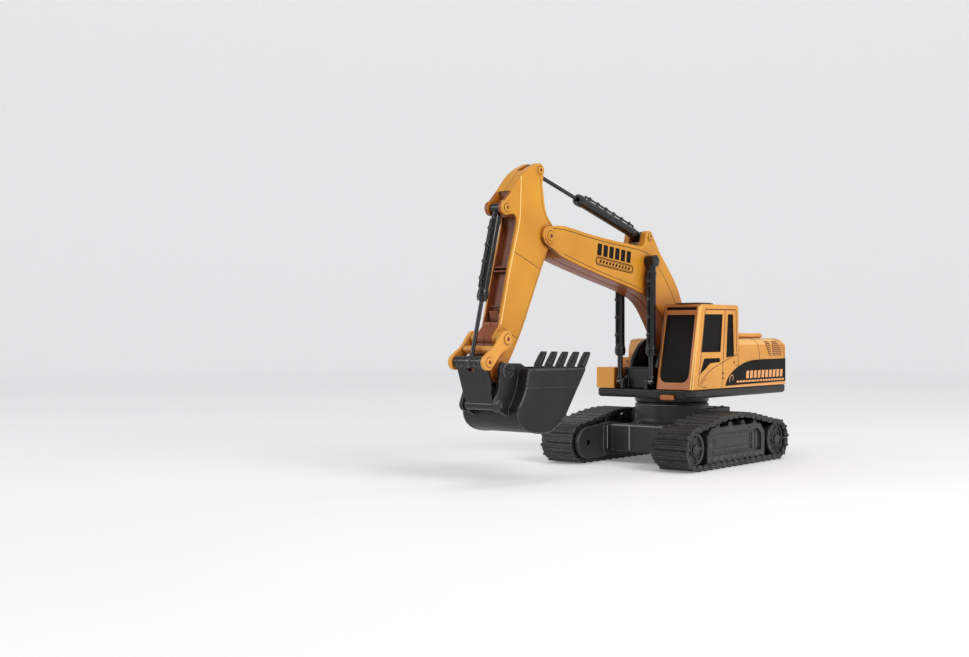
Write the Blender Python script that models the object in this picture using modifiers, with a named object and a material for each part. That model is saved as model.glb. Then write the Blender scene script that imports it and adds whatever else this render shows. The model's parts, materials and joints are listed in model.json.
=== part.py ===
"""Toy tracked excavator, built from named pieces. Lengths below are in millimetres and are turned into
metres by MM. The slew axis is drawn at x = 0, y = 0; the front is -Y, up is +Z and the cab is on +X.
At the end everything is moved back by SLEW_Y, so the frame's origin is under the middle of the toy."""

import math

import bmesh
import bpy
from mathutils import Matrix, Vector

MM = 0.001

# ---- driving dimensions, mm ----
SLEW_Y = 63.439           # the slew axis behind the middle of the toy
CLEAR = 0.3              # gap between neighbouring pieces

TRACK_OVERALL = 140.0    # outside to outside of the two belts
SHOE_WIDTH = 31.0
WHEEL_R_OUT = 16.7       # outside of the belt around the end wheels
IDLER_Y = -68.3
SPROCKET_Y = 54.7
BELT_THICK = 3.0
GROUSER = 1.3
TOP_RISE = 8.6           # how far the top run is carried up over the middle
AXLE_R = 2.5

CHASSIS_HALF_X = 34.0
CHASSIS_TOP = 30.0
PEDESTAL_R = 30.4
PEDESTAL_TOP = 47.8
HUB_R = 8.0

DECK_HALF_X = 46.3
DECK_FRONT = -42.0
DECK_REAR = 111.0
DECK_LOW = 53.4
DECK_TOP = 59.3

CAB_IN = 11.4            # cab wall beside the boom
CAB_REAR = 29.5
CAB_ROOF = 127.0
CAB_WALL = 1.8

HOOD_TOP = 99.5
HOOD_WALL = 2.2

BOOM_X = -8.5            # middle plane of boom, arm and bucket
BOOM_HALF = 11.0
ARM_HALF = 8.2
LINK_IN = 13.6           # inner face of the rocker plates from the middle plane
LINK_THICK = 3.0
BUCKET_HALF = 25.0
BUCKET_WALL = 2.0
RAM_X = 15.4             # boom cylinders from the middle plane
RAM_R = 4.0

FOOT = (18.0, 80.0)          # boom foot pivot, y and z
RAM_FOOT = (-39.5, 65.0)     # lower pins of the boom cylinders
RAM_HEAD = (-39.5, 161.5)    # upper pins of the boom cylinders
ARM_PIN = (-160.7, 174.3)    # boom tip
ARM_RAM_HEAD = (-35.5, 181.5)
ARM_RAM_END = (-169.0, 221.0)
TIP_RAM_HEAD = (-205.0, 191.5)
ROCKER_PIN = (-213.8, 100.2)
LINK_PIN = (-232.3, 84.7)
BUCKET_PIN = (-212.5, 78.5)
BUCKET_LINK = (-222.0, 55.0)

ROUND = 0.62             # share of the named number of sides that round pieces get

OBJECT = "toy_excavator"


# ---- scene and helpers ----
for old in list(bpy.data.objects):
    bpy.data.objects.remove(old, do_unlink=True)

main = bpy.data.collections.new(OBJECT)
bpy.context.scene.collection.children.link(main)
tools = bpy.data.collections.new("cutters")
bpy.context.scene.collection.children.link(tools)

MATERIALS = {}


def material(name, colour, rough, metallic=0.0):
    if name in MATERIALS:
        return MATERIALS[name]
    mat = bpy.data.materials.new(name)
    mat.use_nodes = True
    shader = mat.node_tree.nodes["Principled BSDF"]
    shader.inputs["Base Color"].default_value = (*colour, 1.0)
    shader.inputs["Roughness"].default_value = rough
    shader.inputs["Metallic"].default_value = metallic
    MATERIALS[name] = mat
    return mat


YELLOW = material("yellow_plastic", (0.80, 0.40, 0.06), 0.38)
BLACK = material("black_plastic", (0.020, 0.020, 0.022), 0.42)
GLASS = material("dark_window", (0.006, 0.007, 0.008), 0.12)
SILVER = material("bright_metal", (0.72, 0.72, 0.74), 0.22, 1.0)
BOARD = material("board_green", (0.02, 0.16, 0.06), 0.45)
CELL = material("cell_wrap", (0.03, 0.08, 0.30), 0.35)
RUBBER = material("track_rubber", (0.016, 0.016, 0.017), 0.62)


def make(name, bm, mat, where=main, origin=(0.0, 0.0, 0.0), smooth=30.0):
    """Turns a bmesh in millimetres into an object whose origin is at the given point."""
    bmesh.ops.remove_doubles(bm, verts=bm.verts, dist=0.004)
    bmesh.ops.recalc_face_normals(bm, faces=bm.faces)
    shift = Vector(origin)
    for v in bm.verts:
        v.co = (v.co - shift) * MM
    mesh = bpy.data.meshes.new(name)
    bm.to_mesh(mesh)
    bm.free()
    ob = bpy.data.objects.new(name, mesh)
    ob.location = shift * MM
    where.objects.link(ob)
    if mat:
        mesh.materials.append(mat)
    if smooth:
        mesh.shade_smooth()
        mesh.set_sharp_from_angle(angle=math.radians(smooth))
    if where is tools:
        ob.hide_render = True
        ob.display_type = "WIRE"
    return ob


def prism_bm(points, x0, x1):
    """A side outline of (y, z) points pushed along X."""
    bm = bmesh.new()
    verts = [bm.verts.new((x0, y, z)) for y, z in points]
    face = bm.faces.new(verts)
    ext = bmesh.ops.extrude_face_region(bm, geom=[face])
    for v in ext["geom"]:
        if isinstance(v, bmesh.types.BMVert):
            v.co.x = x1
    return bm


def plan_bm(points, z0, z1):
    """A plan outline of (x, y) points pushed along Z."""
    bm = bmesh.new()
    verts = [bm.verts.new((x, y, z0)) for x, y in points]
    face = bm.faces.new(verts)
    ext = bmesh.ops.extrude_face_region(bm, geom=[face])
    for v in ext["geom"]:
        if isinstance(v, bmesh.types.BMVert):
            v.co.z = z1
    return bm


def box_bm(lo, hi):
    bm = bmesh.new()
    bmesh.ops.create_cube(bm, size=1.0)
    for v in bm.verts:
        v.co = Vector([lo[i] if v.co[i] < 0 else hi[i] for i in range(3)])
    return bm


def rod_bm(a, b, r, seg=24, r2=None):
    """A round bar from a to b."""
    bm = bmesh.new()
    seg = max(6, round(seg * ROUND))
    a, b = Vector(a), Vector(b)
    bmesh.ops.create_cone(bm, cap_ends=True, segments=seg, radius1=r, radius2=r if r2 is None else r2,
                          depth=(b - a).length)
    turn = Vector((0, 0, 1)).rotation_difference((b - a).normalized()).to_matrix().to_4x4()
    bmesh.ops.transform(bm, matrix=Matrix.Translation((a + b) / 2) @ turn, verts=bm.verts)
    return bm


def lathe_bm(profile, seg=32):
    """A closed (radius, height) profile turned about Z."""
    bm = bmesh.new()
    seg = max(8, round(seg * ROUND))
    rings = []
    for i in range(seg):
        a = 2 * math.pi * i / seg
        rings.append([bm.verts.new((r * math.cos(a), r * math.sin(a), h)) for r, h in profile])
    n = len(profile)
    for i in range(seg):
        for k in range(n):
            p, q = rings[i], rings[(i + 1) % seg]
            quad = [p[k], q[k], q[(k + 1) % n], p[(k + 1) % n]]
            bm.faces.new(quad)
    return bm


def bevel(ob, width, segments=2, angle=40.0):
    mod = ob.modifiers.new("edges", "BEVEL")
    mod.width = width * MM
    mod.segments = segments
    mod.limit_method = "ANGLE"
    mod.angle_limit = math.radians(angle)
    mod.use_clamp_overlap = True
    return ob


def boolean(ob, other, op):
    mod = ob.modifiers.new(op.lower(), "BOOLEAN")
    mod.operation = op
    mod.solver = "EXACT"
    mod.object = other
    return ob


COUNT = [0]


def cut(ob, bm):
    COUNT[0] += 1
    return boolean(ob, make(f"cut_{COUNT[0]:03d}", bm, None, tools, smooth=0), "DIFFERENCE")


def add(ob, bm, mat=None):
    COUNT[0] += 1
    return boolean(ob, make(f"add_{COUNT[0]:03d}", bm, None, tools, smooth=0), "UNION")


def arc(centre, r, a0, a1, n):
    """Points on an arc about (y, z), angles in degrees from +Y towards +Z."""
    out = []
    for i in range(n + 1):
        a = math.radians(a0 + (a1 - a0) * i / n)
        out.append((centre[0] + r * math.cos(a), centre[1] + r * math.sin(a)))
    return out


def along(a, b, t):
    """The point t millimetres from a towards b, in y and z."""
    d = math.hypot(b[0] - a[0], b[1] - a[1])
    return (a[0] + (b[0] - a[0]) * t / d, a[1] + (b[1] - a[1]) * t / d)


def p3(x, yz):
    return (x, yz[0], yz[1])


SIDES = (("right", 1.0), ("left", -1.0))


# ---- undercarriage ----
belt_out = TRACK_OVERALL / 2
belt_in = belt_out - SHOE_WIDTH


def belt_point(s, inset):
    """A point of the belt's loop at share s of its length, moved inwards by inset."""
    r = WHEEL_R_OUT
    flat = SPROCKET_Y - IDLER_Y
    half = math.pi * r
    total = 2 * flat + 2 * half
    d = (s % 1.0) * total
    if d < flat:
        y, z, nx, nz = IDLER_Y + d, 0.0, 0.0, -1.0
    elif d < flat + half:
        a = -math.pi / 2 + (d - flat) / r
        y, z = SPROCKET_Y + r * math.cos(a), r + r * math.sin(a)
        nx, nz = math.cos(a), math.sin(a)
    elif d < 2 * flat + half:
        t = (d - flat - half) / flat
        y = SPROCKET_Y - t * flat
        k = math.sin(math.pi * t)
        z = 2 * r + TOP_RISE * k ** 1.3
        slope = -TOP_RISE * 1.3 * max(k, 1e-9) ** 0.3 * math.cos(math.pi * t) * math.pi / flat
        nx, nz = -slope, 1.0
        size = math.hypot(nx, nz)
        nx, nz = nx / size, nz / size
    else:
        a = math.pi / 2 + (d - 2 * flat - half) / r
        y, z = IDLER_Y + r * math.cos(a), r + r * math.sin(a)
        nx, nz = math.cos(a), math.sin(a)
    return (y - nx * inset, z - nz * inset)


SHOES = 40


def belt_bm(x0, x1):
    """One belt: a closed loop of shoes, each with two raised ribs."""
    outer = []
    for i in range(SHOES):
        for frac, inset in ((0.05, GROUSER), (0.16, 0.0), (0.40, 0.0), (0.52, GROUSER),
                            (0.70, 0.35), (0.86, 0.35)):
            outer.append(belt_point((i + frac) / SHOES, inset))
    inner = [belt_point(i / (2 * SHOES), BELT_THICK) for i in range(2 * SHOES)]
    bm = bmesh.new()
    rows = []
    for x in (x0, x1):
        rows.append(([bm.verts.new((x, y, z)) for y, z in outer], [bm.verts.new((x, y, z)) for y, z in inner]))
    no, ni = len(outer), len(inner)
    for i in range(no):
        j = (i + 1) % no
        bm.faces.new([rows[0][0][i], rows[0][0][j], rows[1][0][j], rows[1][0][i]])
    for i in range(ni):
        j = (i + 1) % ni
        bm.faces.new([rows[0][1][i], rows[1][1][i], rows[1][1][j], rows[0][1][j]])
    step = no // ni
    for row in rows:
        for i in range(ni):
            j = (i + 1) % ni
            strip = [row[0][(i * step + k) % no] for k in range(step + 1)]
            bm.faces.new(strip + [row[1][j], row[1][i]])
    return bm


def bar_x(y, z, x0, x1, r, seg=24):
    return rod_bm((x0, y, z), (x1, y, z), r, seg)


wheel_r = WHEEL_R_OUT - BELT_THICK - CLEAR
frame_in = CHASSIS_HALF_X + CLEAR
frame_out = belt_out - 3.5

for side, s in SIDES:
    make(f"track_belt_{side}", belt_bm(s * belt_in, s * belt_out), RUBBER, smooth=20.0)

    # the side frame: a plate reaching both axles, and a deep beam inside the belt's loop
    plate = []
    plate += arc((IDLER_Y, WHEEL_R_OUT), 8.0, 90, 270, 8)
    plate += [(-48.0, 5.0), (34.0, 5.0)]
    plate += arc((SPROCKET_Y, WHEEL_R_OUT), 8.0, -90, 90, 8)
    plate += [(36.0, 30.0), (-50.0, 30.0)]
    plate_x1 = belt_in + 4.0
    frame = make(f"track_frame_{side}", prism_bm(plate, s * frame_in, s * plate_x1), BLACK)
    beam = [(-50.0, 4.2), (37.0, 4.2), (37.0, 24.0), (30.0, 31.5), (-44.0, 31.5), (-50.0, 25.0)]
    add(frame, prism_bm(beam, s * (belt_in + 2.0), s * frame_out))
    for k in range(4):
        y = -37.0 + 19.0 * k
        add(frame, box_bm((min(s * (belt_in + 1.0), s * (frame_out - 1.0)), y, 28.0),
                          (max(s * (belt_in + 1.0), s * (frame_out - 1.0)), y + 5.0, 34.2)))
    panel = [(-43.0, 9.0), (31.0, 9.0), (31.0, 23.0), (26.0, 27.0), (-39.0, 27.0), (-43.0, 22.0)]
    cut(frame, prism_bm(panel, s * (frame_out - 1.6), s * (frame_out + 1.0)))
    for y in (IDLER_Y, SPROCKET_Y):
        cut(frame, bar_x(y, WHEEL_R_OUT, s * (frame_in - 1.0), s * (plate_x1 + 1.0), AXLE_R + CLEAR, 20))

    # end wheels, each on its own headed axle
    for name, y, rim in (("idler_wheel", IDLER_Y, 9.0), ("drive_sprocket", SPROCKET_Y, 7.0)):
        x0 = plate_x1 + CLEAR
        x1 = belt_out - 3.2
        wide = x1 - x0
        bore = AXLE_R + 0.08
        prof = [(bore, 0.0), (wheel_r, 0.0), (wheel_r, wide - 0.8), (wheel_r - 0.8, wide),
                (rim + 1.2, wide), (rim, wide - 2.0), (5.2, wide - 2.0), (4.6, wide - 0.4), (bore, wide - 0.4)]
        bm = lathe_bm(prof, 40)
        turn = Matrix.Rotation(math.radians(90 * s), 4, "Y")
        bmesh.ops.transform(bm, matrix=Matrix.Translation((s * x0, y, WHEEL_R_OUT)) @ turn, verts=bm.verts)
        wheel = make(f"{name}_{side}", bm, BLACK, origin=(s * x0, y, WHEEL_R_OUT))
        if name == "drive_sprocket":
            for k in range(6):
                a = math.radians(60 * k)
                hy, hz = y + 10.2 * math.cos(a), WHEEL_R_OUT + 10.2 * math.sin(a)
                cut(wheel, bar_x(hy, hz, s * (x1 - 3.0), s * (x1 + 1.0), 1.3, 10))
        axle = lathe_bm([(0.0, 0.0), (AXLE_R, 0.0), (AXLE_R, wide + x0 - frame_in - 0.1),
                         (4.2, wide + x0 - frame_in - 0.1), (4.2, wide + x0 - frame_in + 0.7),
                         (3.4, wide + x0 - frame_in + 1.2), (0.0, wide + x0 - frame_in + 1.2)], 20)
        turn = Matrix.Rotation(math.radians(90 * s), 4, "Y")
        at = Matrix.Translation((s * (frame_in + 0.1), y, WHEEL_R_OUT))
        bmesh.ops.transform(axle, matrix=at @ turn, verts=axle.verts)
        bmesh.ops.remove_doubles(axle, verts=axle.verts, dist=0.001)
        bmesh.ops.dissolve_degenerate(axle, dist=0.0005, edges=axle.edges)
        make(f"{name}_axle_{side}", axle, SILVER, origin=(s * frame_in, y, WHEEL_R_OUT))

chassis = make("chassis", box_bm((-CHASSIS_HALF_X, -44.0, 9.0), (CHASSIS_HALF_X, 44.0, CHASSIS_TOP)), BLACK)
add(chassis, box_bm((-32.0, -12.0, CHASSIS_TOP - 2.0), (32.0, 40.0, 42.8)))
add(chassis, rod_bm((0, 0, CHASSIS_TOP - 3.0), (0, 0, PEDESTAL_TOP), PEDESTAL_R, 64))
cut(chassis, box_bm((-31.0, -41.0, 5.0), (31.0, 41.0, 27.0)))
cut(chassis, rod_bm((0, 0, 20.0), (0, 0, 55.0), HUB_R + CLEAR, 40))

cover = make("bottom_cover", box_bm((-30.7, -40.7, 9.0), (30.7, 40.7, 11.0)), BLACK)
cut(cover, box_bm((-3.2, -29.0, 8.0), (3.2, -15.0, 12.0)))
bevel(cover, 0.4, 1)

knob = make("power_switch", box_bm((-2.8, -25.0, 9.6), (2.8, -19.0, 12.4)), BLACK, origin=(0, -22.0, 10.0))
add(knob, box_bm((-1.5, -23.5, 8.2), (1.5, -20.5, 10.2)))
bevel(knob, 0.2, 1)

for side, s in SIDES:
    motor = make(f"track_motor_{side}", bar_x(28.0, 19.0, s * 3.0, s * 24.0, 6.5, 24), SILVER)
    add(motor, box_bm((min(s * 22.0, s * 30.4), 17.0, 11.8), (max(s * 22.0, s * 30.4), 38.0, 26.4)))


# ---- deck and what stands on it ----
def deck_outline(inset):
    x = DECK_HALF_X - inset
    f, r, c, e = DECK_FRONT + inset, DECK_REAR - inset, 5.0, 3.0
    return [(-x + c, f), (x - c, f), (x, f + c), (x, r - e), (x - e, r), (-x + e, r), (-x, r - e), (-x, f + c)]


deck = make("deck", plan_bm(deck_outline(0.0), DECK_LOW, DECK_TOP), BLACK, origin=(0, 0, DECK_LOW))
bevel(deck, 1.2, 1)
add(deck, rod_bm((0, 0, PEDESTAL_TOP + CLEAR), (0, 0, DECK_LOW + 1.0), PEDESTAL_R, 64))
add(deck, rod_bm((0, 0, 24.6), (0, 0, DECK_LOW), HUB_R, 40))

make("slew_retainer", rod_bm((0, 0, 21.4), (0, 0, 24.3), 12.5, 40), SILVER, origin=(0, 0, 24.0))

tab = make("front_step", box_bm((19.0, DECK_FRONT - 3.4, 51.6), (31.0, DECK_FRONT - CLEAR, 55.4)), YELLOW)
bevel(tab, 0.5, 1)

# cab
cz0 = DECK_TOP + CLEAR
cx0, cx1 = CAB_IN, DECK_HALF_X


def cab_outline(inset, base=0.0):
    i = inset
    foot = [(-41.5 + i, cz0 - base)] if base else []
    return foot + [(-41.5 + i, cz0), (-28.6 + i * 1.05, CAB_ROOF - 2.2 - i * 0.9), (-26.0 + i, CAB_ROOF - i),
            (CAB_REAR - 2.5 - i, CAB_ROOF - i), (CAB_REAR - i, CAB_ROOF - 2.6 - i), (CAB_REAR - i, cz0 - base)]


cab = make("cab_shell", prism_bm(cab_outline(0.0), cx0, cx1), YELLOW)
bevel(cab, 1.6, 2, 50.0)
cut(cab, prism_bm(cab_outline(CAB_WALL, 2.0), cx0 + CAB_WALL, cx1 - CAB_WALL))
front_win = [(14.6, 65.4), (41.2, 65.4), (43.0, 70.0), (43.0, 119.4), (13.6, 119.4), (13.0, 70.0)]
bmw = bmesh.new()
vw = [bmw.verts.new((x, -50.0, z)) for x, z in ((17.2, 65.2), (39.6, 65.2), (42.2, 69.5), (42.2, 118.6),
                                                (15.0, 118.6), (14.6, 69.5))]
fw = bmw.faces.new(vw)
for v in bmesh.ops.extrude_face_region(bmw, geom=[fw])["geom"]:
    if isinstance(v, bmesh.types.BMVert):
        v.co.y = -20.0
cut(cab, bmw)
door_win = [(-22.3, 119.1), (4.7, 119.3), (1.4, 88.9), (-28.4, 89.0)]
quarter_win = [(12.4, 119.5), (20.7, 119.5), (22.3, 85.4), (9.8, 84.2)]
low_win = [(-23.4, 84.2), (0.6, 84.1), (0.6, 80.8), (-14.0, 80.2), (-19.5, 76.7), (-29.6, 71.4)]
for shape in (door_win, quarter_win, low_win):
    cut(cab, prism_bm(shape, cx1 - 5.0, cx1 + 2.0))
cut(cab, prism_bm([(-22.3, 119.1), (20.7, 119.3), (20.7, 89.0), (-28.4, 89.0)], cx0 - 2.0, cx0 + 5.0))
cut(cab, box_bm((cx0 + 6.0, CAB_REAR - 5.0, 103.5), (cx1 - 6.0, CAB_REAR + 3.0, 119.3)))
cut(cab, box_bm((cx0 + 2.6, -34.0, 122.6), (cx1 - 2.6, -27.4, 124.9)))

gi = CAB_WALL + CLEAR
glass = make("cab_windows", prism_bm(cab_outline(gi), cx0 + gi, cx1 - gi), GLASS)
cut(glass, prism_bm(cab_outline(gi + 1.2, 2.0), cx0 + gi + 1.2, cx1 - gi - 1.2))

hatch = make("roof_hatch", box_bm((cx0 + 5.0, -20.0, CAB_ROOF + CLEAR), (cx1 - 6.0, 0.0, CAB_ROOF + 1.5)), BLACK)
bevel(hatch, 0.4, 1)

# body: stepped box on the left, engine hood across the rear
hx0, hx1 = -DECK_HALF_X, DECK_HALF_X
left_in = BOOM_X - RAM_X - RAM_R - 0.5
stair = [(-41.5, cz0), (-41.5, 76.3), (-12.0, 76.3), (-12.0, 84.0), (3.0, 84.0), (3.0, 90.0), (6.0, HOOD_TOP - 1.5),
         (10.0, HOOD_TOP), (40.0, HOOD_TOP), (40.0, cz0)]
body = make("body_shell", prism_bm(stair, hx0, left_in + 0.1), YELLOW)
bevel(body, 1.6, 2, 35.0)
rear = [(36.0, cz0), (36.0, HOOD_TOP), (97.0, HOOD_TOP), (104.0, HOOD_TOP - 3.2), (108.6, HOOD_TOP - 8.0),
        (110.7, HOOD_TOP - 14.0), (110.7, cz0)]
add(body, prism_bm(rear, hx0, hx1))
add(body, prism_bm([(CAB_REAR + CLEAR, cz0), (CAB_REAR + CLEAR, HOOD_TOP), (37.0, HOOD_TOP), (37.0, cz0)],
                   CAB_IN, hx1))
bevel(body, 1.6, 2, 50.0)
w = HOOD_WALL
hollow = [(36.0 + w, cz0 - 3.0), (36.0 + w, HOOD_TOP - w), (96.0, HOOD_TOP - w), (104.5, HOOD_TOP - 8.0),
          (108.4, HOOD_TOP - 15.0), (108.4, cz0 - 3.0)]
cut(body, prism_bm(hollow, hx0 + w, hx1 - w))
cut(body, box_bm((hx0 + w, -41.5 + w, cz0 - 3.0), (left_in - w, 0.0, 76.3 - w)))
cut(body, box_bm((hx0 + w, -2.0, cz0 - 3.0), (left_in - w, 33.0, 86.0)))

lid = make("hood_lid", box_bm((-12.0, 33.0, HOOD_TOP + CLEAR), (40.0, 80.0, HOOD_TOP + 4.6)), YELLOW)
bevel(lid, 1.2, 2)

battery = make("battery_pack", box_bm((-34.0, 64.0, cz0 + 0.6), (34.0, 94.0, 82.0)), CELL)
bevel(battery, 3.0, 2)
make("control_board", box_bm((-30.0, 42.0, 66.0), (36.0, 60.0, 67.6)), BOARD)
slew_motor = make("slew_motor", rod_bm((28.0, -4.0, cz0 + 0.5), (28.0, -4.0, 84.0), 7.0, 24), SILVER)

# boom bracket: base between cab and left box, two cheeks, and the cylinder feet
base = [(-35.0, cz0), (33.5, cz0), (33.5, 66.0), (4.0, 66.0), (-3.0, 76.7), (-33.0, 76.7), (-35.0, 74.7)]
bracket = make("boom_bracket", prism_bm(base, BOOM_X - 13.8, BOOM_X + 13.8), BLACK)
bevel(bracket, 0.8, 1)
cheek = [(-29.0, 74.0), (-28.6, 77.4), (-25.8, 84.2), (-20.5, 91.0), (-15.0, 95.9), (-6.0, 99.6), (4.0, 101.0),
         (22.0, 100.0), (29.0, 95.0), (33.5, 86.0), (33.5, 64.0), (-29.0, 64.0)]
for s in (1, -1):
    c0, c1 = BOOM_X + s * (BOOM_HALF + CLEAR), BOOM_X + s * (BOOM_HALF + CLEAR + 3.0)
    add(bracket, prism_bm(cheek, min(c0, c1), max(c0, c1)))
    lug = [(RAM_FOOT[0] - 3.2, cz0), (-33.0, cz0), (-33.0, 70.0), (-35.0, 70.0)]
    lug += arc(RAM_FOOT, 3.2, 60, 180, 5)
    l0, l1 = BOOM_X + s * (RAM_X - 5.0), BOOM_X + s * (RAM_X - 2.2)
    add(bracket, prism_bm(lug, min(l0, l1), max(l0, l1)))
    add(bracket, bar_x(RAM_FOOT[0], RAM_FOOT[1], BOOM_X + s * (RAM_X - 3.0), BOOM_X + s * (RAM_X + 2.3), 1.4, 16))
cut(bracket, bar_x(FOOT[0], FOOT[1], BOOM_X - 20.0, BOOM_X + 20.0, 2.2 + CLEAR, 24))


def pin(name, yz, half, r, head, mat, head_thick=1.0, x=BOOM_X):
    """A plain cross pin with a shallow head on each end."""
    prof = [(0.0, -half), (head, -half), (head, -half + head_thick), (r, -half + head_thick),
            (r, half - head_thick), (head, half - head_thick), (head, half), (0.0, half)]
    bm = lathe_bm(prof, 20)
    bmesh.ops.transform(bm, matrix=Matrix.Translation((x, yz[0], yz[1])) @ Matrix.Rotation(math.pi / 2, 4, "Y"),
                        verts=bm.verts)
    bmesh.ops.remove_doubles(bm, verts=bm.verts, dist=0.001)
    bmesh.ops.dissolve_degenerate(bm, dist=0.0005, edges=bm.edges)
    return make(name, bm, mat, origin=(x, yz[0], yz[1]))


pin("boom_foot_pin", FOOT, BOOM_HALF + CLEAR + 4.2, 2.2, 3.4, SILVER, 0.9)


# ---- boom: two half shells ----
boom_side = []
boom_side += arc(ARM_PIN, 7.6, 232, 118, 8)
boom_side += [(-156.5, 181.8), (-142.8, 182.7), (-120.9, 179.6), (-94.0, 176.6), (-68.8, 174.5), (-46.0, 172.9),
              (-42.6, 174.4)]
boom_side += arc(ARM_RAM_HEAD, 4.6, 175, 35, 8)
boom_side += [(-20.9, 169.7), (-6.9, 155.4), (4.3, 142.4), (12.4, 128.2), (20.5, 110.0), (26.5, 94.0)]
boom_side += arc(FOOT, 10.2, 20, -170, 10)
boom_side += [(4.0, 85.0), (-6.6, 101.7), (-17.0, 115.5), (-24.0, 123.6), (-32.0, 130.0), (-42.0, 134.2),
              (-52.0, 136.9), (-65.9, 140.4), (-94.0, 146.4), (-127.5, 154.3), (-146.7, 159.6), (-155.6, 163.9)]
for side, s in SIDES:
    x0, x1 = BOOM_X + s * 0.15, BOOM_X + s * BOOM_HALF
    shell = make(f"boom_shell_{side}", prism_bm(boom_side, x0, x1), YELLOW, origin=p3(BOOM_X, FOOT))
    bevel(shell, 0.8, 1, 35.0)
    # fork for the arm, slot for the arm cylinder, holes for the pins
    reach = BOOM_X + s * (ARM_HALF + CLEAR)
    far = BOOM_X - s * 2.0
    cut(shell, box_bm((min(far, reach), -185.0, 150.0), (max(far, reach), ARM_PIN[0] + 15.2, 200.0)))
    ear = BOOM_X + s * 5.3
    cut(shell, box_bm((min(far, ear), -46.0, 173.2), (max(far, ear), -18.0, 195.0)))
    for at, r in ((ARM_PIN, 2.0), (ARM_RAM_HEAD, 1.6), (RAM_HEAD, 1.6), (FOOT, 2.3)):
        cut(shell, bar_x(at[0], at[1], BOOM_X - 20.0, BOOM_X + 20.0, r + CLEAR * (0 if at is FOOT else 1), 20))

pin("arm_pivot_pin", ARM_PIN, BOOM_HALF + 1.3, 2.0, 3.6, YELLOW)
pin("arm_cylinder_pin", ARM_RAM_HEAD, BOOM_HALF + 1.2, 1.5, 2.6, YELLOW)
make("boom_cylinder_pin", bar_x(RAM_HEAD[0], RAM_HEAD[1], BOOM_X - BOOM_HALF - 2.3, BOOM_X + BOOM_HALF + 2.3,
                                1.6, 20), BLACK, origin=p3(BOOM_X, RAM_HEAD))


# ---- cylinders ----
def pipe(ob, a, b, x, off, start, stop, r=0.8, clips=3, lift=5.0):
    """A small pressure pipe beside a barrel, held by clips: off is the pipe's shift in y and z."""
    pa, pb = along(a, b, start), along(a, b, stop)
    qa, qb = (pa[0] + off[0], pa[1] + off[1]), (pb[0] + off[0], pb[1] + off[1])
    add(ob, rod_bm(p3(x, qa), p3(x, qb), r, 10))
    for k in range(clips):
        t = start + (stop - start) * (k + 0.3) / clips
        c = along(a, b, t)
        tip = (c[0] + off[0] * 1.22, c[1] + off[1] * 1.22)
        add(ob, rod_bm(p3(x, c), p3(x, tip), 1.1, 8))


for side, s in SIDES:
    x = BOOM_X + s * RAM_X
    top, bottom = RAM_HEAD, RAM_FOOT
    barrel = make(f"boom_barrel_{side}", rod_bm(p3(x, top), p3(x, along(top, bottom, 75.5)), RAM_R, 28), BLACK,
                  origin=p3(x, top))
    h0, h1 = BOOM_X + s * (BOOM_HALF + 0.4), BOOM_X + s * (RAM_X + RAM_R + 0.9)
    add(barrel, bar_x(top[0], top[1], h0, h1, 4.6, 28))
    add(barrel, rod_bm(p3(x, along(top, bottom, 68.5)), p3(x, along(top, bottom, 73.0)), RAM_R + 0.5, 28))
    pipe(barrel, top, bottom, x, (-5.2, 0.0), 8.0, 66.0, clips=4)
    cut(barrel, rod_bm(p3(x, along(top, bottom, 7.5)), p3(x, along(top, bottom, 90.0)), 2.45, 24))
    cut(barrel, bar_x(top[0], top[1], BOOM_X + s * BOOM_HALF, BOOM_X + s * (BOOM_HALF + 3.0), 3.5, 24))
    rod = make(f"boom_rod_{side}", rod_bm(p3(x, along(bottom, top, 1.0)), p3(x, along(bottom, top, 70.0)), 2.2, 24),
               SILVER, origin=p3(x, bottom))
    add(rod, bar_x(bottom[0], bottom[1], x - 1.9, x + 1.9, 3.1, 24))
    cut(rod, bar_x(bottom[0], bottom[1], x - 4.0, x + 4.0, 1.46, 20))

head, end = ARM_RAM_HEAD, ARM_RAM_END
barrel = make("arm_barrel", rod_bm(p3(BOOM_X, along(head, end, 0.5)), p3(BOOM_X, along(head, end, 84.0)), 4.2, 28),
              BLACK, origin=p3(BOOM_X, head))
add(barrel, bar_x(head[0], head[1], BOOM_X - 4.9, BOOM_X + 4.9, 4.2, 28))
add(barrel, rod_bm(p3(BOOM_X, along(head, end, 76.0)), p3(BOOM_X, along(head, end, 81.0)), 4.8, 28))
pipe(barrel, head, end, BOOM_X, (1.6, 5.5), 9.0, 74.0, clips=6)
cut(barrel, rod_bm(p3(BOOM_X, along(head, end, 8.0)), p3(BOOM_X, along(head, end, 90.0)), 1.75, 20))
cut(barrel, bar_x(head[0], head[1], BOOM_X - 9.0, BOOM_X + 9.0, 1.58, 20))
reach_a = math.hypot(end[0] - head[0], end[1] - head[1])
rod = make("arm_rod", rod_bm(p3(BOOM_X, along(head, end, reach_a - 74.0)), p3(BOOM_X, along(head, end, reach_a - 4.2)),
                             1.5, 20), SILVER, origin=p3(BOOM_X, end))
add(rod, bar_x(end[0], end[1], BOOM_X - 2.2, BOOM_X + 2.2, 4.8, 24))
cut(rod, bar_x(end[0], end[1], BOOM_X - 4.0, BOOM_X + 4.0, 3.5, 24))

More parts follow.
